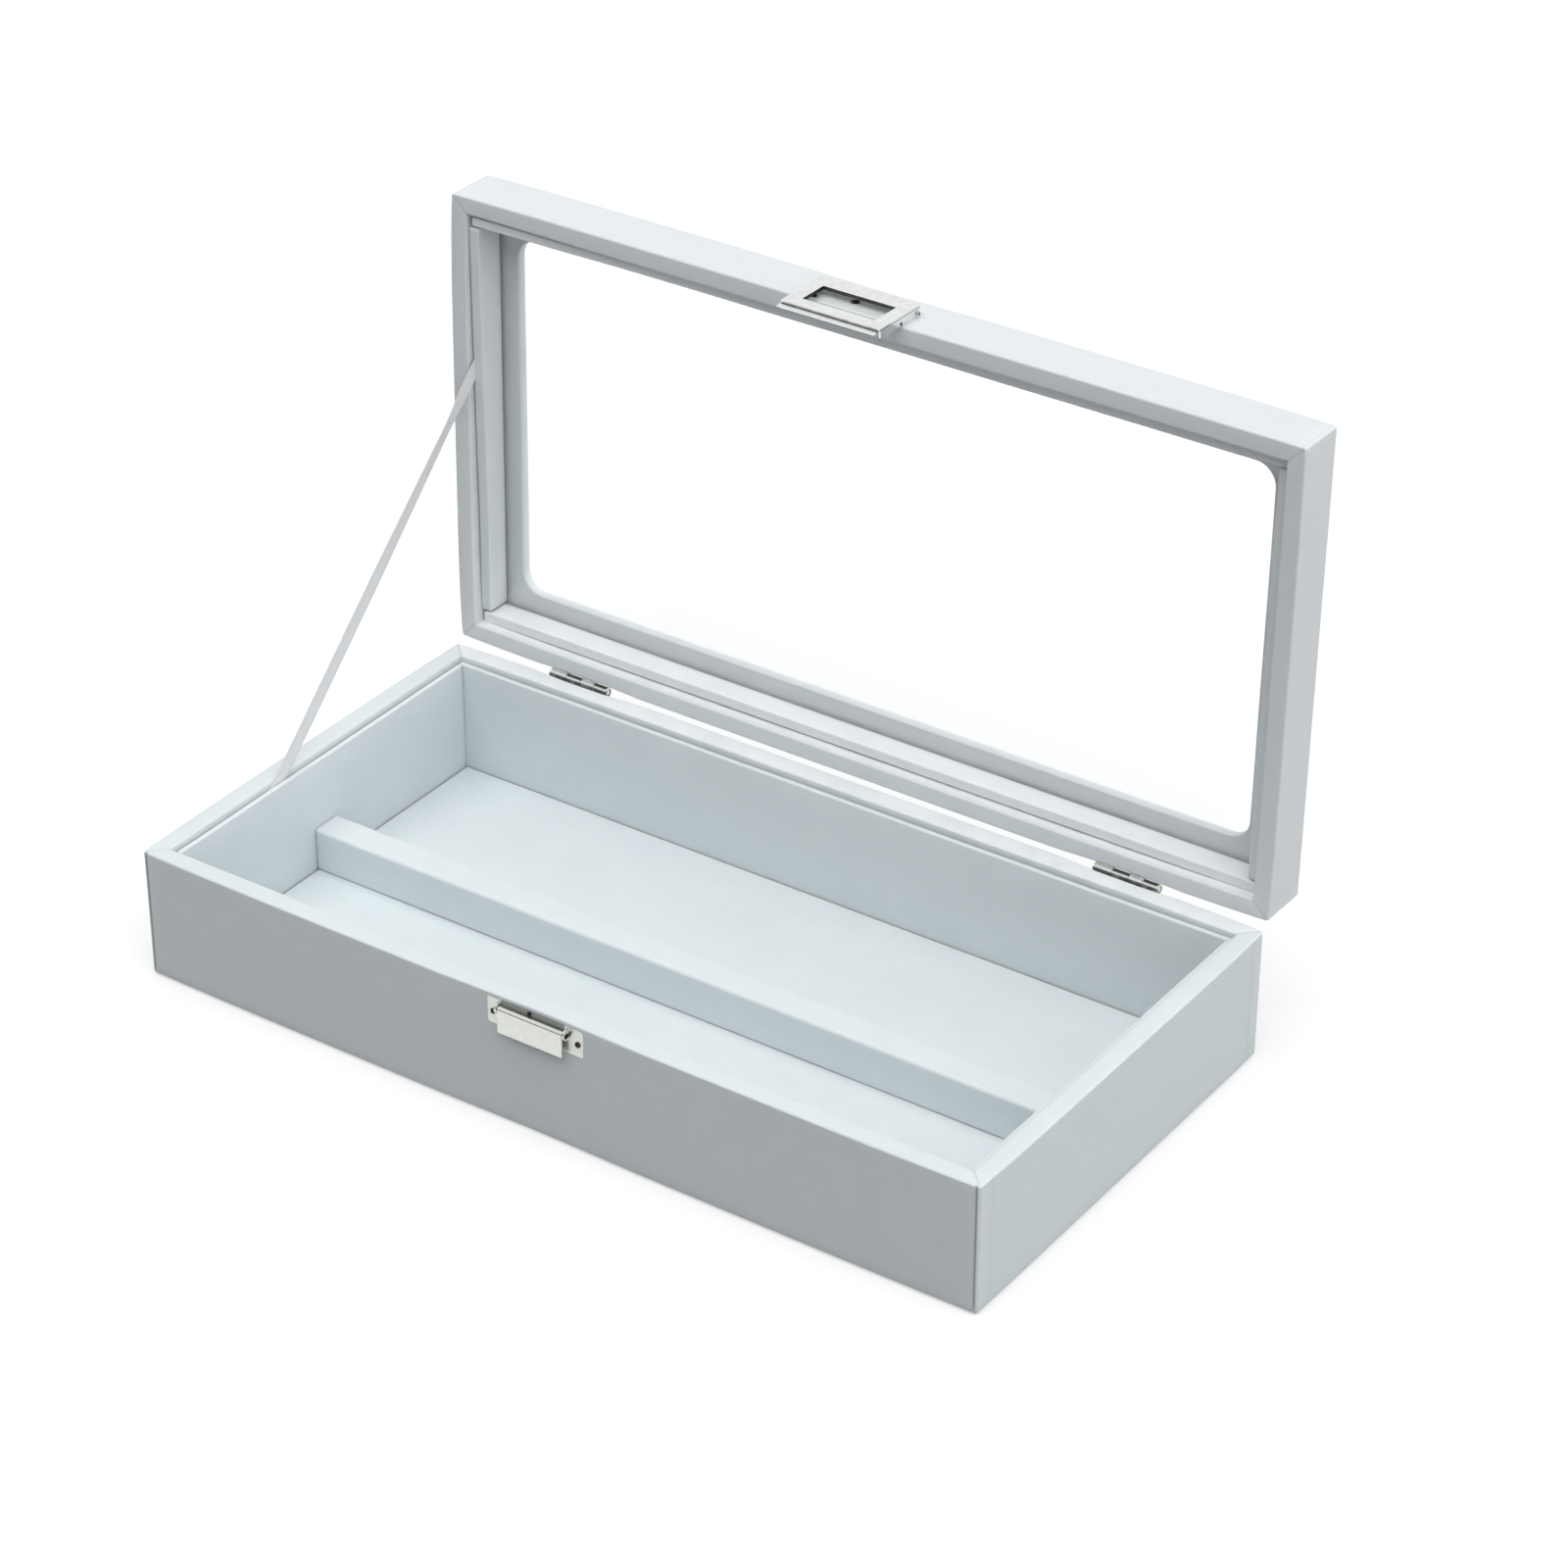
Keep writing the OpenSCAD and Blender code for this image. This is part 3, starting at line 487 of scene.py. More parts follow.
# The lining under the base
# Thin grey felt paper, cut a little smaller than the base and glued over the turned edge of the leather.
felt_finish, tree = new_finish("felt_paper")
where = tree.on_piece()
nap = tree.mottle(where, 3400.0, 5.0, Roughness=0.8)
drift = tree.mottle(where, 70.0, 2.0)
felt_colour = tree.blend_colours(nap.fade(0.3, 0.7), (0.19, 0.205, 0.21, 1), (0.3, 0.315, 0.32, 1))
felt_colour = tree.blend_colours(drift.fade(0.35, 0.65) * 0.3, felt_colour, (0.27, 0.28, 0.285, 1))
surface(tree, {"Base Color": felt_colour, "Roughness": nap.fade(0.2, 0.8, 0.86, 1.0), "Sheen Weight": 0.25,
               "Specular IOR Level": 0.2}, nap, 0.00025)
wear_finish("bottom_lining", felt_finish)


# Liners of the tray
# Stiff cards covered in the same leather, pushed down inside the rim. Each stands about 2 mm below it,
# and its soft top edge catches the light.
def covered_card(name, run, thickness, height, edge, place, body, node, seed, drop=None,
                 finish=leather_finish):
    """A leather-covered card lying along X from -run to run, standing on z = 0 and centred on y = 0.
    drop(share) lowers the top edge along the card."""
    half = thickness / 2
    tuck = 0.00035
    outline = arc(-half + tuck, tuck, tuck, 270, -90, 3) + [(-half, 0.0009)]
    outline += [(-half, height * share) for share in (0.25, 0.5, 0.75)]
    outline += arc(-half + edge, height - edge, edge, 180, -90, 6)
    if half - edge > 0.0008:
        outline += [(-half + edge + (thickness - 2 * edge) * s, height) for s in (0.25, 0.5, 0.75)]
    outline += arc(half - edge, height - edge, edge, 90, -90, 6)
    outline += [(half, height * share) for share in (0.75, 0.5, 0.25)]
    outline += [(half, 0.0009)] + arc(half - tuck, tuck, tuck, 0, -90, 3)
    ends = [(0.0, 0.0005), (0.00015, 0.0002), (0.0005, 0.0), (0.0015, 0.0), (0.004, 0.0)]
    steps = max(8, int(run * 2 / 0.009))
    stations = [(-run + d, g) for d, g in ends]
    stations += [(-run + 0.004 + (2 * run - 0.008) * (j + 1) / (steps + 1), 0.0) for j in range(steps)]
    stations += [(run - d, g) for d, g in reversed(ends)]
    made = bmesh.new()
    rings = []
    for x, shrink in stations:
        share = (x + run) / (2 * run)
        lower = drop(share) if drop else 0.0
        ring = []
        for y, z in outline:
            lift = z / height
            yy = y - math.copysign(min(shrink, abs(y)), y) if y else y
            zz = z - lower * lift - (shrink if z > height * 0.8 else 0)
            sway = noise.noise(Vector((x * 30 + seed, 1.7, seed))) * 0.00012 * lift
            crown = noise.noise(Vector((x * 45 + seed, z * 60, 7.1))) * 0.00006
            ring.append(made.verts.new((x, yy + sway + crown, zz + sway * 0.6)))
        rings.append(ring)
    count = len(outline)
    for a, b in zip(rings, rings[1:]):
        for j in range(count):
            made.faces.new((a[j], b[j], b[(j + 1) % count], a[(j + 1) % count]))
    made.faces.new(rings[0])
    made.faces.new(list(reversed(rings[-1])))
    bmesh.ops.recalc_face_normals(made, faces=made.faces)
    for face in made.faces:
        face.smooth = len(face.verts) == 4
    # Painted highlight along the soft top edge, and painted shade along the foot of the card.
    paling = [math.exp(-((height - v.co.z) / 0.0012) ** 2) * 0.12 for v in made.verts]
    painted_shade = [math.exp(-(v.co.z / 0.0005) ** 2) for v in made.verts]
    piece = put_together(name, made, [finish], place)
    mark(piece, "rub", paling)
    mark(piece, "crease", painted_shade)
    sharp = piece.modifiers.new("square_ends", "EDGE_SPLIT")
    sharp.split_angle = math.radians(60)
    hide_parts(node)
    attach(piece, body)


panel_top = 0.0041
liner_t = 0.002
liner_in = 0.0071
tray_in = 0.0091
liner_h = base_h - 0.002 - panel_top
along_y = Matrix.Rotation(math.radians(90), 4, "Z")
soft_edge = 0.0006
middle = liner_in + liner_t / 2
long_run = case_w / 2 - liner_in
short_run = case_d / 2 - tray_in - 0.00002
for name, node, run, x, y, turned, seed in (
        ("front_liner", "base_front_liner", long_run, 0, -case_d / 2 + middle, Matrix.Identity(4), 1.0),
        ("back_liner", "base_back_liner", long_run, 0, case_d / 2 - middle, Matrix.Identity(4), 2.0),
        ("left_liner", "base_left_liner", short_run, -case_w / 2 + middle, 0, along_y, 3.0),
        ("right_liner", "base_right_liner", short_run, case_w / 2 - middle, 0, along_y, 4.0)):
    covered_card(name, run, liner_t, liner_h, soft_edge, Matrix.Translation((x, y, panel_top)) @ turned,
                 "base", node, seed)


# The floor of the tray
# A card covered in the same leather and laid between the liners. Its edges roll down softly where they
# meet them.
def soft_steps(half, edges, count):
    """Coordinates from -half to half, crowded at both ends."""
    inner = half - edges[-1]
    out = [-half + e for e in edges]
    out += [-inner + 2 * inner * (j + 1) / (count + 1) for j in range(count)]
    return out + [half - e for e in reversed(edges)]


floor_top = 0.0053
pad_gap = 0.0004
pad_x = case_w / 2 - tray_in - pad_gap
pad_y = case_d / 2 - tray_in - pad_gap
edges = (0.0, 0.00008, 0.0002, 0.0004, 0.0008, 0.0014, 0.0022, 0.0035, 0.006)
xs = soft_steps(pad_x, edges, 44)
ys = soft_steps(pad_y, edges, 22)
made = bmesh.new()
grid = []
roll = 0.0006
for x in xs:
    column = []
    for y in ys:
        edge = min(pad_x - abs(x), pad_y - abs(y))
        fall = 0.0 if edge > roll else roll - math.sqrt(max(0.0, roll ** 2 - (roll - edge) ** 2))
        swell = 0.00012 * (1 - math.exp(-edge / 0.004))
        ripple = noise.noise(Vector((x * 26, y * 26, 0.4))) * 0.00007
        column.append(made.verts.new((x, y, floor_top - fall * 0.8 + swell + ripple - 0.0001)))
    grid.append(column)
for a, b in zip(grid, grid[1:]):
    for j in range(len(ys) - 1):
        made.faces.new((a[j], b[j], b[j + 1], a[j + 1]))
rim = [e for e in made.edges if len(e.link_faces) == 1]
skirt = bmesh.ops.extrude_edge_only(made, edges=rim)
lowest = [v for v in skirt["geom"] if isinstance(v, bmesh.types.BMVert)]
for v in lowest:
    v.co.z = panel_top
bmesh.ops.contextual_create(made, geom=[e for e in made.edges if len(e.link_faces) == 1])
bmesh.ops.recalc_face_normals(made, faces=made.faces)
for face in made.faces:
    face.smooth = len(face.verts) == 4
floor_card = put_together("floor_card", made, [leather_finish])
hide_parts("floor_pad")
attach(floor_card, "base")


# The divider
# A wooden bar covered in leather, with rounded top edges. It lies along the tray from liner to liner.
divider_w, divider_h = 0.0126, 0.0167
divider_edge = 0.0014
divider_y = -0.0025
covered_card("divider", case_w / 2 - tray_in - 0.00015, divider_w, divider_h, divider_edge,
             Matrix.Translation((0, divider_y, floor_top)), "base", "divider_bar", 5.0)


# The leather of the lid
# The same skin over the lid's boards: over the rim and 12 mm down inside it, and over the top, where it
# is turned in through the window and round its inner face.
lid_top = 0.0207
lid_rim = 0.0064
lid_z = base_h + 0.0003
open_angle = 91.35
hinge = Vector((0, case_d / 2 + 0.00225, base_h))
opened = (Matrix.Translation(hinge) @ Matrix.Rotation(math.radians(-open_angle), 4, "X")
          @ Matrix.Translation(-hinge))
window_in = 0.0175
window_r = 0.008
cut_r = 0.0018
bezel_z = 0.0158
board_under, board_over = 0.0166, 0.0194


def toward_window(inset):
    """The corner radius grows from the case's own to the window's on the way in to it."""
    share = min(1.0, max(0.0, (inset - 0.003) / (window_in - 0.003)))
    share = share * share * (3 - 2 * share)
    return max(outer_r - inset, 0.0003) * (1 - share) + window_r * share


section = graded([(lid_rim, 0.012), (lid_rim, 0.007), (lid_rim, 0.0035)], "inside")
section += graded(arc(lid_rim - roll_r, roll_r, roll_r, 0, -90, 5), "top")
section += graded([(0.0046, -0.00003), (0.0033, -0.00005), (0.0018, -0.00003)], "top")
section += graded(arc(roll_r, roll_r, roll_r, 270, -20, 2), "top")
section += graded(arc(roll_r, roll_r, roll_r, 240, -60, 4), "side")
section += graded([(0, 0.003), (0, 0.008), (0, 0.0125), (0, 0.0175)], "side")
section += graded(arc(roll_r, lid_top - roll_r, roll_r, 180, -90, 6), "side")
section += [(i, lid_top, toward_window(i), "flat") for i in (0.0035, 0.006, 0.009, 0.012, 0.0145)]
section += [(i, h, window_r, "cut")
            for i, h in arc(window_in - cut_r, lid_top - cut_r, cut_r, 90, -90, 8)]
section += [(window_in, 0.0178, window_r, "cut"), (window_in, 0.0164, window_r, "cut")]
section += [(i, h, window_r, "cut") for i, h in arc(window_in - 0.0004, 0.0162, 0.0004, 0, -90, 3)]
section += [(i, bezel_z, toward_window(i), "flat") for i in (0.0155, 0.0125, 0.0095, 0.007)]
section += [(0.0057, bezel_z, 0.0003, "hidden"), (0.0057, board_under, 0.0003, "hidden")]
section += [(i, board_under, toward_window(i) + 0.0004, "hidden") for i in (0.009, 0.0125)]
section += [(window_in - leather_t, board_under, window_r + 0.0004, "hidden"),
            (window_in - leather_t, board_over, window_r + 0.0004, "hidden")]
section += [(i, board_over, toward_window(i) + 0.0004, "hidden") for i in (0.0125, 0.009)]
section += graded([(leather_t, board_over), (leather_t, leather_t), (lid_rim - leather_t, leather_t),
                   (lid_rim - leather_t, 0.012)], "hidden")
lid_leather = pale_leather("pale_leather_of_lid", (0.671, 0.701, 0.722, 1), (0.693, 0.720, 0.741, 1),
                           (0.85, 0.87, 0.88, 1))


def lid_fittings(x, y):
    """How firmly the clasp and the hinges' leaves hold the wall flat."""
    if y < 0:
        return 0.7 * math.exp(-((x - clasp_x) / 0.026) ** 4)
    return 0.8 * math.exp(-((abs(x) - hinge_x) / 0.018) ** 4)


lid_wrap = wrap_leather("lid_leather", section, opened @ Matrix.Translation((0, 0, lid_z)), 11.0, lid_rim,
                        [(0.0004, 0.0007, 0), (0.0005, 0, 0.0001), (0.0011, 0.0008, 0.00068),
                         (0.0012, 0.0008, 0.00068)],
                        lid_fittings, lambda height: 1 - height / lid_top, 0.15, "inside", lid_leather)
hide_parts("lid_wrap")
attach(lid_wrap, "lid")


# The window pane
# Clear 1.8 mm glass laid on the inner face of the top and held there by the lid's liners.
glass_finish, tree = new_finish("window_glass")
where = tree.on_piece()
smear = tree.mottle(where, 30.0, 4.0, Distortion=1.2)
clear = tree.node("ShaderNodeBsdfPrincipled", {}, {
    "Base Color": (0.99, 0.995, 0.995, 1),
    "Roughness": smear.fade(0.45, 0.8, 0.0, 0.02),
    "IOR": 1.45,
    "Specular IOR Level": 0.12,
    "Transmission Weight": 1.0,
})
through = tree.node("ShaderNodeBsdfTransparent", {}, {"Color": (0.96, 0.965, 0.965, 1)})
shadow = tree.node("ShaderNodeLightPath", {}, {}, "Is Shadow Ray")
diffuse = tree.node("ShaderNodeLightPath", {}, {}, "Is Diffuse Ray")
tree.node("ShaderNodeOutputMaterial", {}, {
    "Surface": tree.node("ShaderNodeMixShader", {}, {0: shadow.most(diffuse), 1: clear, 2: through})})
wear_finish("window_pane", glass_finish)


# Liners of the lid
# Thicker covered cards round the inside of the lid, which hold the pane. They stop 4 mm short of the
# rim, except at the top left corner, where the left and front ones run out nearly to it. The two long
# ones are covered with a paler copy of the leather, which is painted light.
painted_light_leather = pale_leather("painted_light_leather", (0.80, 0.815, 0.83, 1), (0.84, 0.855, 0.865, 1),
                             (0.86, 0.87, 0.88, 1))
card_h = 0.0126
card_edge = 0.0005
card_inner = 0.0109
pane_face = lid_z + 0.014
full_drop = 0.0026
end_run = case_d / 2 - card_inner - 0.0005
hang = Matrix.Diagonal((1, -1, -1, 1))


def hung_liner(side, run, outer, inner, x, y, shift, node, seed, finish, drop):
    """Hangs a card from the pane on the wall that (x, y) points to, between two insets from the outside."""
    middle = (outer + inner) / 2
    place = opened @ Matrix.Translation((x * (case_w / 2 - middle), y * (case_d / 2 - middle) + shift,
                                         pane_face))
    if x:
        place = place @ along_y
    covered_card("lid_liner_" + side, run, inner - outer, card_h, card_edge, place @ hang, "lid", node,
                 seed, drop, finish)


hung_liner("front", case_w / 2 - 0.0076, 0.0076, card_inner, 0, -1, 0, "lid_front_liner", 6.0,
           painted_light_leather, lambda share: full_drop * min(1, share / 0.35))
hung_liner("back", case_w / 2 - 0.0070, 0.0063, 0.0103, 0, 1, 0, "lid_back_liner", 7.0,
           painted_light_leather, lambda share: full_drop)
hung_liner("left", end_run, 0.0062, 0.0104, -1, 0, 0.0003, "lid_left_liner", 8.0, lid_leather,
           lambda share: full_drop * min(1, share / 0.8))
hung_liner("right", end_run, 0.0074, card_inner, 1, 0, 0.0003, "lid_right_liner", 9.0, lid_leather,
           lambda share: full_drop)


# Hinges
# Two small butt hinges of nickel-plated steel, each with four knuckles on a pin. Their leaves are screwed
# flat to the back faces of the lid and the base.
def plated(name, low, high, polish, shade=None, metallic=1.0):
    """Plated steel, brushed along X, whose colour drifts from low to high. shade says where painted shade
    darkens it, and metallic is low where the plating is satin."""
    made, tree = new_finish(name)
    where = tree.on_piece()
    brushed = tree.node("ShaderNodeMapping", {}, {"Vector": where, "Scale": (0.12, 1.0, 1.0)})
    lines = tree.mottle(brushed, 9000.0, 3.0)
    cloud = tree.mottle(where, 420.0, 4.0)
    specks = tree.mottle(where, 2600.0, 2.0)
    metal = tree.blend_colours(cloud.fade(0.3, 0.7), low, high)
    darker = tuple(v * 0.65 for v in low[:3]) + (1,)
    metal = tree.blend_colours(specks.fade(0.66, 0.76) * 0.35, metal, darker)
    rough = cloud.fade(0.3, 0.7, polish, polish + 0.08) + lines * 0.04
    if shade:
        painted_shade = shade(tree, where)
        metal = tree.blend_colours(painted_shade, metal, (0.06, 0.06, 0.052, 1))
        rough = rough + painted_shade * 0.2
    surface(tree, {"Base Color": metal, "Metallic": metallic, "Roughness": rough}, lines, 0.0000012)
    return made


nickel_finish = plated("nickel_plate", (0.66, 0.67, 0.635, 1), (0.72, 0.73, 0.69, 1), 0.14)
bright_finish = plated("bright_nickel", (0.76, 0.77, 0.75, 1), (0.85, 0.855, 0.83, 1), 0.16)
satin_finish = plated("satin_nickel", (0.69, 0.74, 0.72, 1), (0.75, 0.79, 0.77, 1), 0.45, metallic=0.25)
# Blackened steel for the screws, pins and rivets, and also painted shade on the lug hollows and the hasp
# window's edges.
dark_finish = plated("blackened_steel_and_painted_shade", (0.035, 0.035, 0.033, 1), (0.07, 0.07, 0.065, 1), 0.3)


def plate_metal(name, node, body, bevel, finish=nickel_finish, in_shade=None):
    """A copy of the plain part with its edges eased, as stamped and plated metal has them. The faces that
    the last argument picks get the dark finish, as painted shade."""
    made = bmesh.new()
    made.from_mesh(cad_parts[node].data)
    bmesh.ops.remove_doubles(made, verts=made.verts, dist=0.000002)
    bmesh.ops.dissolve_limit(made, angle_limit=math.radians(1), verts=made.verts, edges=made.edges)
    for edge in made.edges:
        edge.smooth = len(edge.link_faces) == 2 and edge.calc_face_angle() < math.radians(35)
    for face in made.faces:
        face.smooth = True
        if in_shade and in_shade(face):
            face.material_index = 1
    piece = put_together(name, made, [finish, dark_finish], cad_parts[node].matrix_world)
    ease = piece.modifiers.new("eased_edges", "BEVEL")
    ease.width = bevel
    ease.segments = 2
    ease.limit_method = "ANGLE"
    ease.angle_limit = math.radians(40)
    ease.harden_normals = True
    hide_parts(node)
    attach(piece, body)


hinge_len = 0.0255


def shaded_knuckles(tree, where):
    """Painted shade under the barrel, and over the two base knuckles where the lid's leaf stops short."""
    x, y, z = tree.apart(where)
    along = (x - x.maths("SIGN", x) * hinge_x) / hinge_len + 0.5
    gap = along.fade(0.27, 0.3) * along.fade(0.56, 0.53) + along.fade(0.75, 0.78) * along.fade(0.99, 0.97)
    crown = y.fade(hinge.y - 0.0012, hinge.y - 0.0008) * z.fade(base_h + 0.0008, base_h + 0.0011)
    patchy = tree.mottle(where, 380.0, 1.0)
    under = z.fade(base_h + 0.0013, base_h + 0.0007) * patchy.fade(0.36, 0.52, 0.78, 1.0)
    return (under + gap * crown).least(1.0) * 0.88


hinge_finish = plated("hinge_nickel", (0.7, 0.71, 0.68, 1), (0.8, 0.81, 0.78, 1), 0.24, shaded_knuckles)
for side in ("left", "right"):
    plate_metal(side + "_leaf_on_base", side + "_hinge_base_leaf", "base", 0.00015, hinge_finish)
    plate_metal(side + "_leaf_on_lid", side + "_hinge_lid_leaf", "lid", 0.00015, hinge_finish)
    plate_metal(side + "_pin", side + "_hinge_pin", "base", 0.0001)


# The catch on the base
# A stamped plate with two lugs, and a flap that hangs from a rolled barrel on the pin between them.
flap_x = clasp_x - 0.0009
flap_w = 0.0264
barrel_z = base_h - 0.0046
lug_out = flap_w / 2 + 0.00115
lug_y = -case_d / 2 - 0.00155
hollow_r = 0.001


def behind_the_barrel(tree, where):
    """Painted shade on the strip of the plate between the lugs, over the barrel."""
    x, _, z = tree.apart(where)
    along = abs(x - flap_x).fade(flap_w / 2, flap_w / 2 - 0.0006)
    return along * z.fade(barrel_z - 0.0012, barrel_z - 0.0004) * 0.6


catch_finish = plated("catch_nickel", (0.6, 0.61, 0.575, 1), (0.68, 0.69, 0.65, 1), 0.28, behind_the_barrel)


def in_hollow(face):
    """The end of a lug round the pin's hole, painted dark as the shade in the hole."""
    p = face.calc_center_median()
    deep = 0.0001 < lug_out - abs(p.x - flap_x) < 0.0006
    within = math.hypot(p.y - lug_y, p.z - barrel_z) < hollow_r * 1.01
    return deep and within and face.calc_area() < 0.000004


plate_metal("catch_base", "catch_plate", "base", 0.00012, catch_finish, in_hollow)
plate_metal("catch_axle", "catch_pin", "base", 0.00008, dark_finish)
plate_metal("flap", "catch_flap", "flap", 0.00018)


# The clasp on the lid
# A plate screwed to the lid and turned over its rim, and the hasp frame that swings on its pin: two tiers
# with a groove between, a window whose edges are painted dark as painted shade, and a finger lip.
window_half = 0.0145
window_near = 0.0085
window_far = 0.004
clasp_plate_t = 0.0008
to_closed = opened.inverted()


def in_hasp_window(face):
    """The cut edges of the hasp's window, painted dark as painted shade."""
    p = to_closed @ face.calc_center_median()
    beside = abs(p.x - clasp_x) < window_half + 0.0001
    return beside and -window_near - 0.0001 < p.z - lid_z < window_far + 0.0001


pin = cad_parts["clasp_pin"]
corners = [pin.matrix_world @ Vector(c) for c in pin.bound_box]
pin_at = sum(corners, Vector()) / 8


def dark_middle(tree, where):
    """Darker in the middle of the pin's ends."""
    _, y, z = tree.apart(where)
    return ((y - pin_at.y) ** 2 + (z - pin_at.z) ** 2).fade(0.0007 ** 2, 0.0005 ** 2)


axle_finish = plated("axle_nickel", (0.78, 0.79, 0.77, 1), (0.86, 0.865, 0.84, 1), 0.3, dark_middle)
plate_metal("clasp_base", "clasp_plate", "lid", 0.00012, satin_finish)
plate_metal("clasp_axle", "clasp_pin", "lid", 0.0001, axle_finish)
plate_metal("hasp", "hasp_frame", "hasp", 0.00014, bright_finish, in_hasp_window)

front = -case_d / 2
turned = [(front - clasp_plate_t, lid_z + 0.0009), (front - clasp_plate_t, lid_z + 0.0004)]
turned += [(front - 0.0002 - 0.0006 * math.cos(math.radians(a)),
            lid_z + 0.0004 - 0.00058 * math.sin(math.radians(a))) for a in (15, 30, 45, 60, 75, 90)]
turned += [(front + 0.0012, lid_z - 0.00018), (front + 0.0024, lid_z - 0.00018)]
inside = [(front + 0.0024, lid_z - 0.00006), (front + 0.0002, lid_z - 0.00006),
          (front - 0.0004, lid_z + 0.0002), (front - 0.0006, lid_z + 0.0009)]
made = bmesh.new()
rings = []
for s in (-1, 1):
    end = clasp_x + s * (window_half - 0.0002)
    rings.append([made.verts.new((end, y, z)) for y, z in turned + inside])
count = len(rings[0])
for j in range(count):
    made.faces.new((rings[0][j], rings[0][(j + 1) % count], rings[1][(j + 1) % count], rings[1][j]))
made.faces.new(rings[0])
made.faces.new(list(reversed(rings[1])))
bmesh.ops.recalc_face_normals(made, faces=made.faces)
for edge in made.edges:
    edge.smooth = edge.calc_face_angle() < math.radians(35)
for face in made.faces:
    face.smooth = True
turned_edge = put_together("clasp_turned_edge", made, [satin_finish], opened)
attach(turned_edge, "lid")

rivet_r = 0.0006
rivet_x = 0.01975
for name, side in (("hasp_rivet_left", -1), ("hasp_rivet_right", 1)):
    made = bmesh.new()
    bmesh.ops.create_uvsphere(made, u_segments=24, v_segments=12, radius=rivet_r)
    for face in made.faces:
        face.smooth = True
    rivet_at = Matrix.Translation((clasp_x + side * rivet_x, front - 0.0018, lid_z - 0.0008))
    rivet = put_together(name, made, [dark_finish], opened @ rivet_at @ Matrix.Diagonal((0.6, 1, 1, 1)))
    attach(rivet, "hasp")


# Screws
# Small cross-headed screws with low domed heads. One tree of nodes makes every one of them.
def screw_tree():
    group = bpy.data.node_groups.new("cross_headed_screw", "GeometryNodeTree")
    face = group.interface
    face.new_socket("Geometry", in_out="INPUT", socket_type="NodeSocketGeometry")
    for label, value in (("Head Radius", 1.5), ("Head Height", 0.5), ("Shank Radius", 0.6),
                         ("Shank Length", 5.0), ("Cross Width", 0.35)):
        face.new_socket(label, in_out="INPUT", socket_type="NodeSocketFloat").default_value = value
    face.new_socket("Seed", in_out="INPUT", socket_type="NodeSocketInt").default_value = 1
    face.new_socket("Plating", in_out="INPUT", socket_type="NodeSocketMaterial")
    face.new_socket("Geometry", in_out="OUTPUT", socket_type="NodeSocketGeometry")

    tree = Finish(group)
    given = {socket.name: Wire(tree, socket) for socket in group.nodes.new("NodeGroupInput").outputs}
    head_r, head_h, cross_w = given["Head Radius"], given["Head Height"], given["Cross Width"]
    shank_l = given["Shank Length"]

    def triple(x, y, z):
        return tree.node("ShaderNodeCombineXYZ", {}, {0: x, 1: y, 2: z})

    def lifted(part, by):
        return tree.node("GeometryNodeTransform", {},
                         {"Geometry": part, "Translation": triple(0.0, 0.0, by)})

    dome = tree.node("GeometryNodeMeshUVSphere", {}, {"Segments": 32, "Rings": 16, "Radius": 1.0})
    dome = tree.node("GeometryNodeTransform", {}, {
        "Geometry": dome, "Scale": triple(head_r * 1.12, head_r * 1.12, head_h)})
    rim = tree.node("GeometryNodeMeshCylinder", {},
                    {"Vertices": 32, "Radius": head_r, "Depth": head_h * 1.02})
    rim = lifted(rim, head_h * 0.51)
    head = tree.node("GeometryNodeMeshBoolean", {"operation": "INTERSECT"}, {"Mesh 2": [dome, rim]})
    bars = []
    cross_l = head_r * 1.15
    for x, y in ((cross_l, cross_w), (cross_w, cross_l)):
        bar = tree.node("GeometryNodeMeshCube", {}, {"Size": triple(x, y, 1.0)})
        bars.append(lifted(bar, head_h + 0.22))
    head = tree.node("GeometryNodeMeshBoolean", {"operation": "DIFFERENCE"},
                     {"Mesh 1": head, "Mesh 2": bars})
    shank = tree.node("GeometryNodeMeshCylinder", {}, {"Vertices": 16, "Radius": given["Shank Radius"],
                                                       "Depth": shank_l})
    shank = lifted(shank, shank_l * -0.499)
    screw = tree.node("GeometryNodeJoinGeometry", {}, {0: [head, shank]})
    screw = tree.node("GeometryNodeTransform", {}, {"Geometry": screw, "Scale": (0.001, 0.001, 0.001)})
    turn = tree.node("FunctionNodeRandomValue", {"data_type": "FLOAT"},
                     {2: 0.0, 3: 1.57, "Seed": given["Seed"]}, 1)
    size = tree.node("GeometryNodeInputNamedAttribute", {"data_type": "FLOAT"}, {"Name": "head_size"})
    placed = tree.node("GeometryNodeInstanceOnPoints", {}, {
        "Points": given["Geometry"], "Instance": screw, "Rotation": triple(0.0, 0.0, turn),
        "Scale": triple(size, size, 1.0)})
    real = tree.node("GeometryNodeRealizeInstances", {}, {"Geometry": placed})
    coated = tree.node("GeometryNodeSetMaterial", {}, {"Geometry": real, "Material": given["Plating"]})
    tree.node("NodeGroupOutput", {}, {0: coated})
    return group


screws = screw_tree()


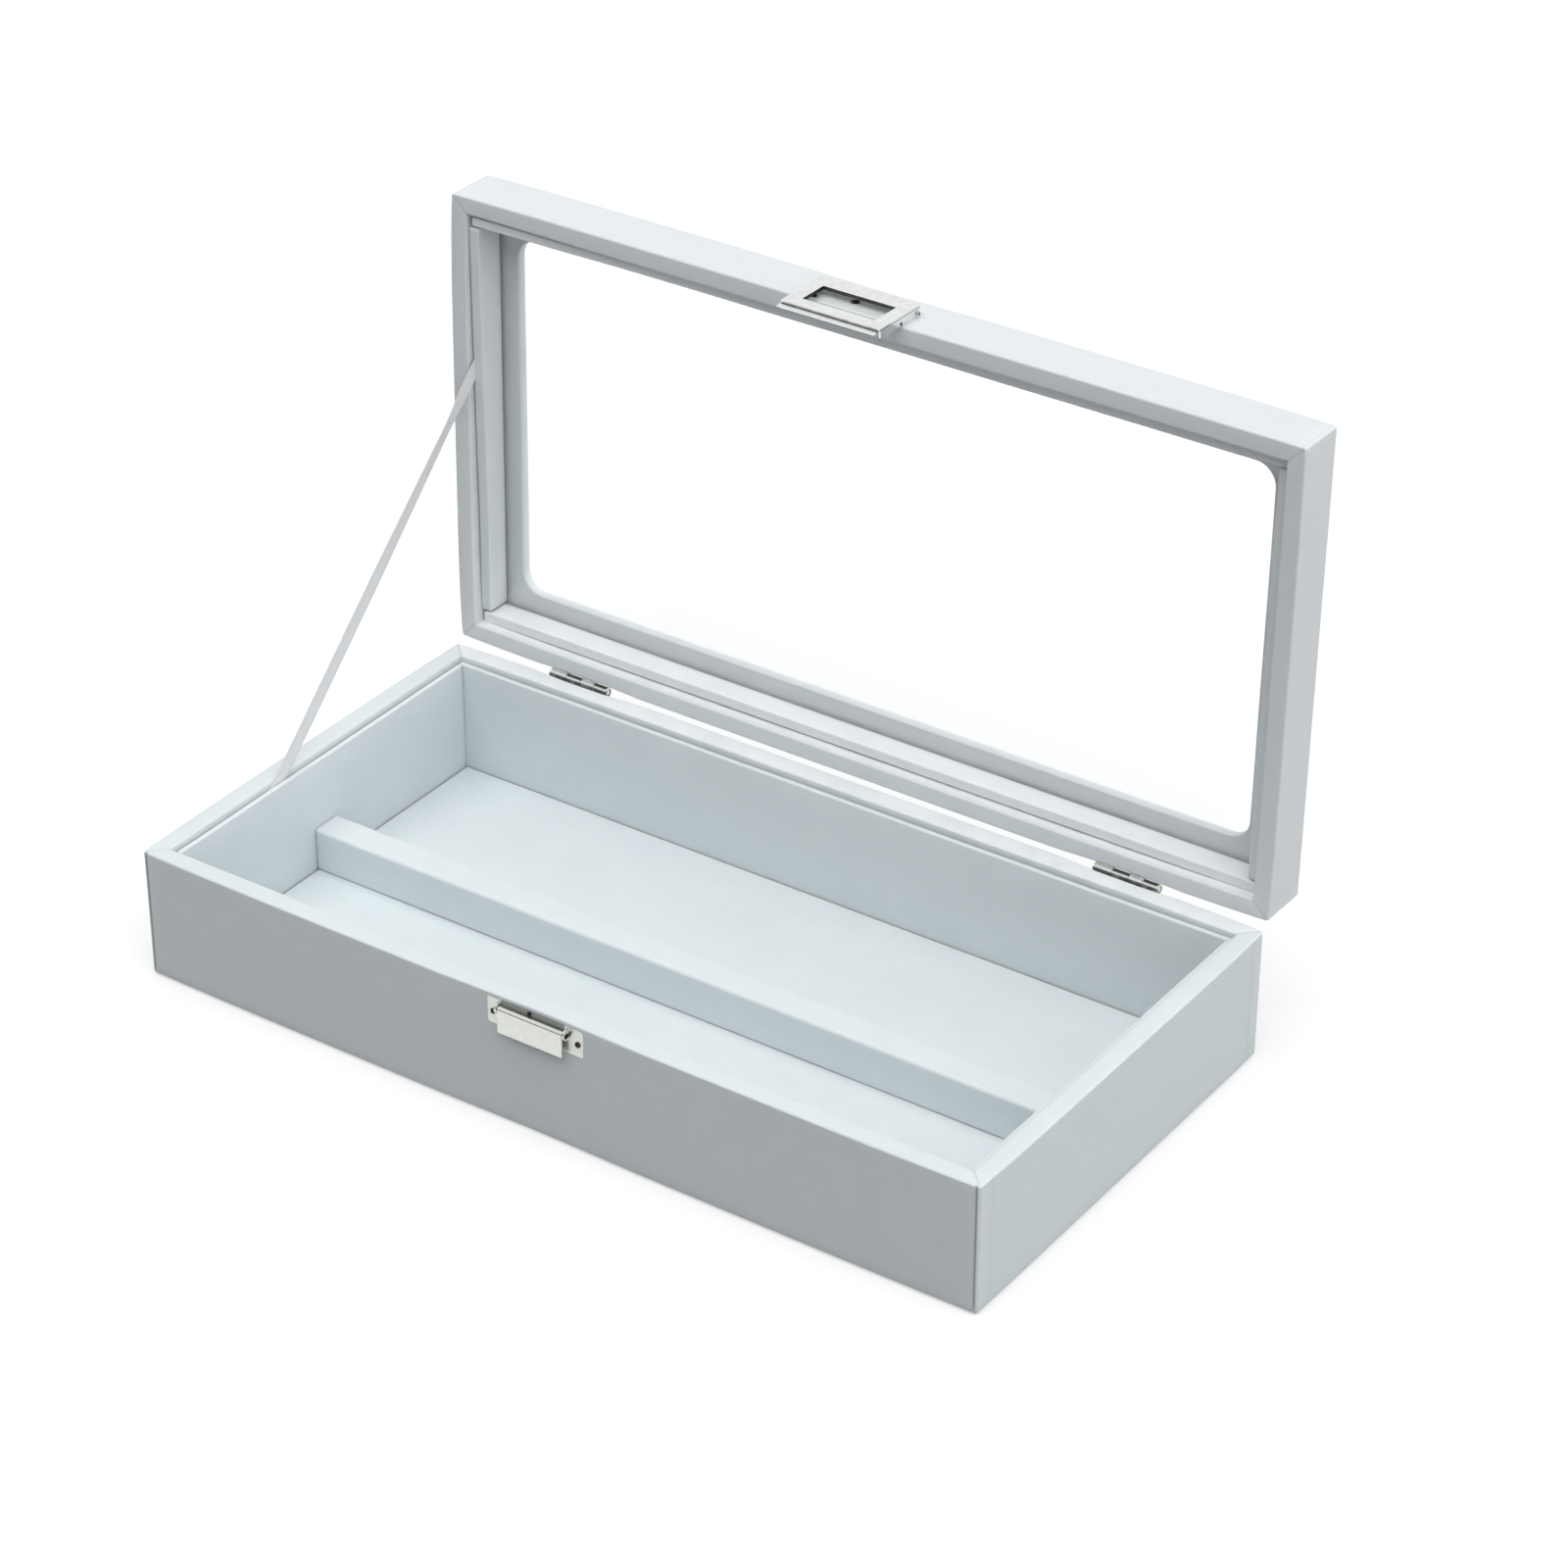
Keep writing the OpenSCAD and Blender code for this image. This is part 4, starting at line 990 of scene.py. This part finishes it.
def drive(name, node, body, spots, facing, sizes, seed, finish):
    """Puts a screw at each (x, y, size of head) of a plane, which facing turns onto the box."""
    spot_mesh = bpy.data.meshes.new(name + "_spots")
    spot_mesh.from_pydata([(x, y, 0) for x, y, _ in spots], [], [])
    spot = bpy.data.objects.new(name + "_spots", spot_mesh)
    mark(spot, "head_size", [size for _, _, size in spots])
    show(spot)
    maker = spot.modifiers.new("screws", "NODES")
    maker.node_group = screws
    wanted = {**sizes, "Seed": seed, "Plating": finish}
    for item in screws.interface.items_tree:
        if item.in_out == "INPUT" and item.name in wanted:
            maker[item.identifier] = wanted[item.name]
    bpy.context.view_layer.update()
    graph = bpy.context.evaluated_depsgraph_get()
    mesh = bpy.data.meshes.new_from_object(spot.evaluated_get(graph))
    mesh.name = name
    mesh.transform(facing)
    bpy.data.objects.remove(spot)
    piece = bpy.data.objects.new(name, mesh)
    show(piece)
    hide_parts(node)
    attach(piece, body)


hinge_spots = [side * hinge_x + s * hinge_len * 0.3 for side in (-1, 1) for s in (-1, 1)]
leaf_drop = 0.0014 + 0.0095 / 2
plate_t = 0.0008
out_back = Matrix.Translation((0, case_d / 2 + plate_t, 0)) @ Matrix.Rotation(math.radians(-90), 4, "X")
out_front = Matrix.Rotation(math.radians(90), 4, "X")
hinge_screw = {"Head Radius": 1.5, "Head Height": 0.5, "Shank Radius": 0.8, "Shank Length": 4.9,
               "Cross Width": 0.4}
drive("hinge_screws_in_base", "hinge_base_screws", "base",
      [(x, -(base_h - leaf_drop), 1) for x in hinge_spots], out_back, hinge_screw, 3, nickel_finish)
drive("hinge_screws_in_lid", "hinge_lid_screws", "lid",
      [(x, -(base_h + leaf_drop), 1) for x in hinge_spots], opened @ out_back, hinge_screw, 4, nickel_finish)
side_screw = {"Head Radius": 1.25, "Head Height": 0.5, "Shank Radius": 0.5, "Shank Length": 4.7,
              "Cross Width": 0.36}
catch_out, catch_low = 0.0173, base_h - 0.007
drive("catch_side_screws", "catch_screws", "base",
      [(clasp_x - catch_out, catch_low, 0.85), (clasp_x + catch_out, catch_low, 0.9),
       (clasp_x - 0.0022, base_h - 0.00245, 0.7)],
      Matrix.Translation((0, front - 0.0006, 0)) @ out_front, side_screw, 5, dark_finish)
clasp_out, clasp_low = 0.0174, lid_z + 0.0025
drive("clasp_side_screws", "clasp_screws", "lid",
      [(clasp_x - clasp_out, clasp_low, 1), (clasp_x + clasp_out, clasp_low, 1),
       (clasp_x - 0.0032, lid_z + 0.0065, 1.3)],
      opened @ Matrix.Translation((0, front - plate_t, 0)) @ out_front, side_screw, 6, dark_finish)


# The ribbon
# A 6 mm satin ribbon, glued behind the left liners of the base and the lid, which the open lid pulls
# taut. It turns a little on its way up.
ribbon_finish, tree = new_finish("satin_ribbon")
weave_at = tree.node("ShaderNodeAttribute", {"attribute_name": "weave"}, {}, "Vector")
ribs = tree.node("ShaderNodeTexWave", {"wave_type": "BANDS", "bands_direction": "Y"},
                 {"Vector": weave_at, "Scale": 900.0, "Distortion": 0.6, "Detail": 1.0})
threads = tree.node("ShaderNodeTexWave", {"wave_type": "BANDS", "bands_direction": "X"},
                    {"Vector": weave_at, "Scale": 1400.0, "Distortion": 0.8, "Detail": 1.0})
fuzz = tree.mottle(weave_at, 500.0, 3.0)
hem = tree.node("ShaderNodeAttribute", {"attribute_name": "selvedge"}, {}, "Fac")
cloth = tree.blend_colours(ribs.fade(0.2, 0.8), (0.71, 0.71, 0.72, 1), (0.78, 0.78, 0.79, 1))
cloth = tree.blend_colours(fuzz.fade(0.4, 0.7) * 0.4, cloth, (0.81, 0.81, 0.815, 1))
cloth = tree.blend_colours(hem * 0.5, cloth, (0.6, 0.6, 0.615, 1))
surface(tree, {"Base Color": cloth, "Roughness": ribs.fade(0.0, 1.0, 0.42, 0.55), "Sheen Weight": 0.3,
               "Specular IOR Level": 0.4}, ribs * 0.6 + threads * 0.4 + hem * 0.8, 0.00005)

ribbon_w, ribbon_t = 0.006, 0.00024
ribbon_x = -case_w / 2 + base_rim + 0.0001 + 0.00015
foot = Vector((ribbon_x, case_d / 2 - 0.1095, base_h))
head = opened @ Vector((ribbon_x, case_d / 2 - 0.106, lid_z))
pull = (head - foot).normalized()
glued_low, glued_high = 0.015, 0.010
low_end = foot - pull * glued_low
high_end = head + pull * glued_high
length = (high_end - low_end).length
flatwise = Vector((0, -pull.z, pull.y))
steps, lanes = 120, 12
made = bmesh.new()
sheets = {}
weave = {}
for side in (-1, 1):
    rows = []
    for i in range(steps + 1):
        s = i / steps
        along = low_end.lerp(high_end, s)
        free = min(1.0, max(0.0, (s * length - 0.016) / 0.012))
        free *= min(1.0, max(0.0, ((1 - s) * length - 0.012) / 0.02))
        free = free * free * (3 - 2 * free)
        twist = math.radians(free * (2 + 13 * min(1.0, max(0.0, (s - 0.5) / 0.35))))
        row = []
        for j in range(lanes + 1):
            v = (j / lanes - 0.5) * ribbon_w
            curl = 0.0002 * free * ((2 * v / ribbon_w) ** 2 - 0.4)
            p = along + flatwise * (v * math.cos(twist)) + Vector((1, 0, 0)) * (v * math.sin(twist) + curl)
            p += Vector((1, 0, 0)) * side * ribbon_t / 2
            vert = made.verts.new(p)
            weave[vert] = (v, s * length, 0.0)
            row.append(vert)
        rows.append(row)
    sheets[side] = rows
for i in range(steps):
    for j in range(lanes):
        a, b = sheets[1][i], sheets[1][i + 1]
        made.faces.new((a[j], a[j + 1], b[j + 1], b[j]))
        a, b = sheets[-1][i], sheets[-1][i + 1]
        made.faces.new((a[j], b[j], b[j + 1], a[j + 1]))
    for j in (0, lanes):
        made.faces.new((sheets[1][i][j], sheets[1][i + 1][j], sheets[-1][i + 1][j], sheets[-1][i][j]))
for i in (0, steps):
    for j in range(lanes):
        made.faces.new((sheets[1][i][j], sheets[1][i][j + 1], sheets[-1][i][j + 1], sheets[-1][i][j]))
bmesh.ops.recalc_face_normals(made, faces=made.faces)
for face in made.faces:
    face.smooth = True
made.verts.index_update()
where_woven = [c for v in made.verts for c in weave[v]]
hems = [math.exp(-((0.5 * ribbon_w - abs(weave[v][0])) / 0.0005) ** 2) for v in made.verts]
ribbon = put_together("ribbon", made, [ribbon_finish])
ribbon.data.attributes.new("weave", "FLOAT_VECTOR", "POINT").data.foreach_set("vector", where_woven)
mark(ribbon, "selvedge", hems)
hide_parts("lid_stay")
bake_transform(ribbon)
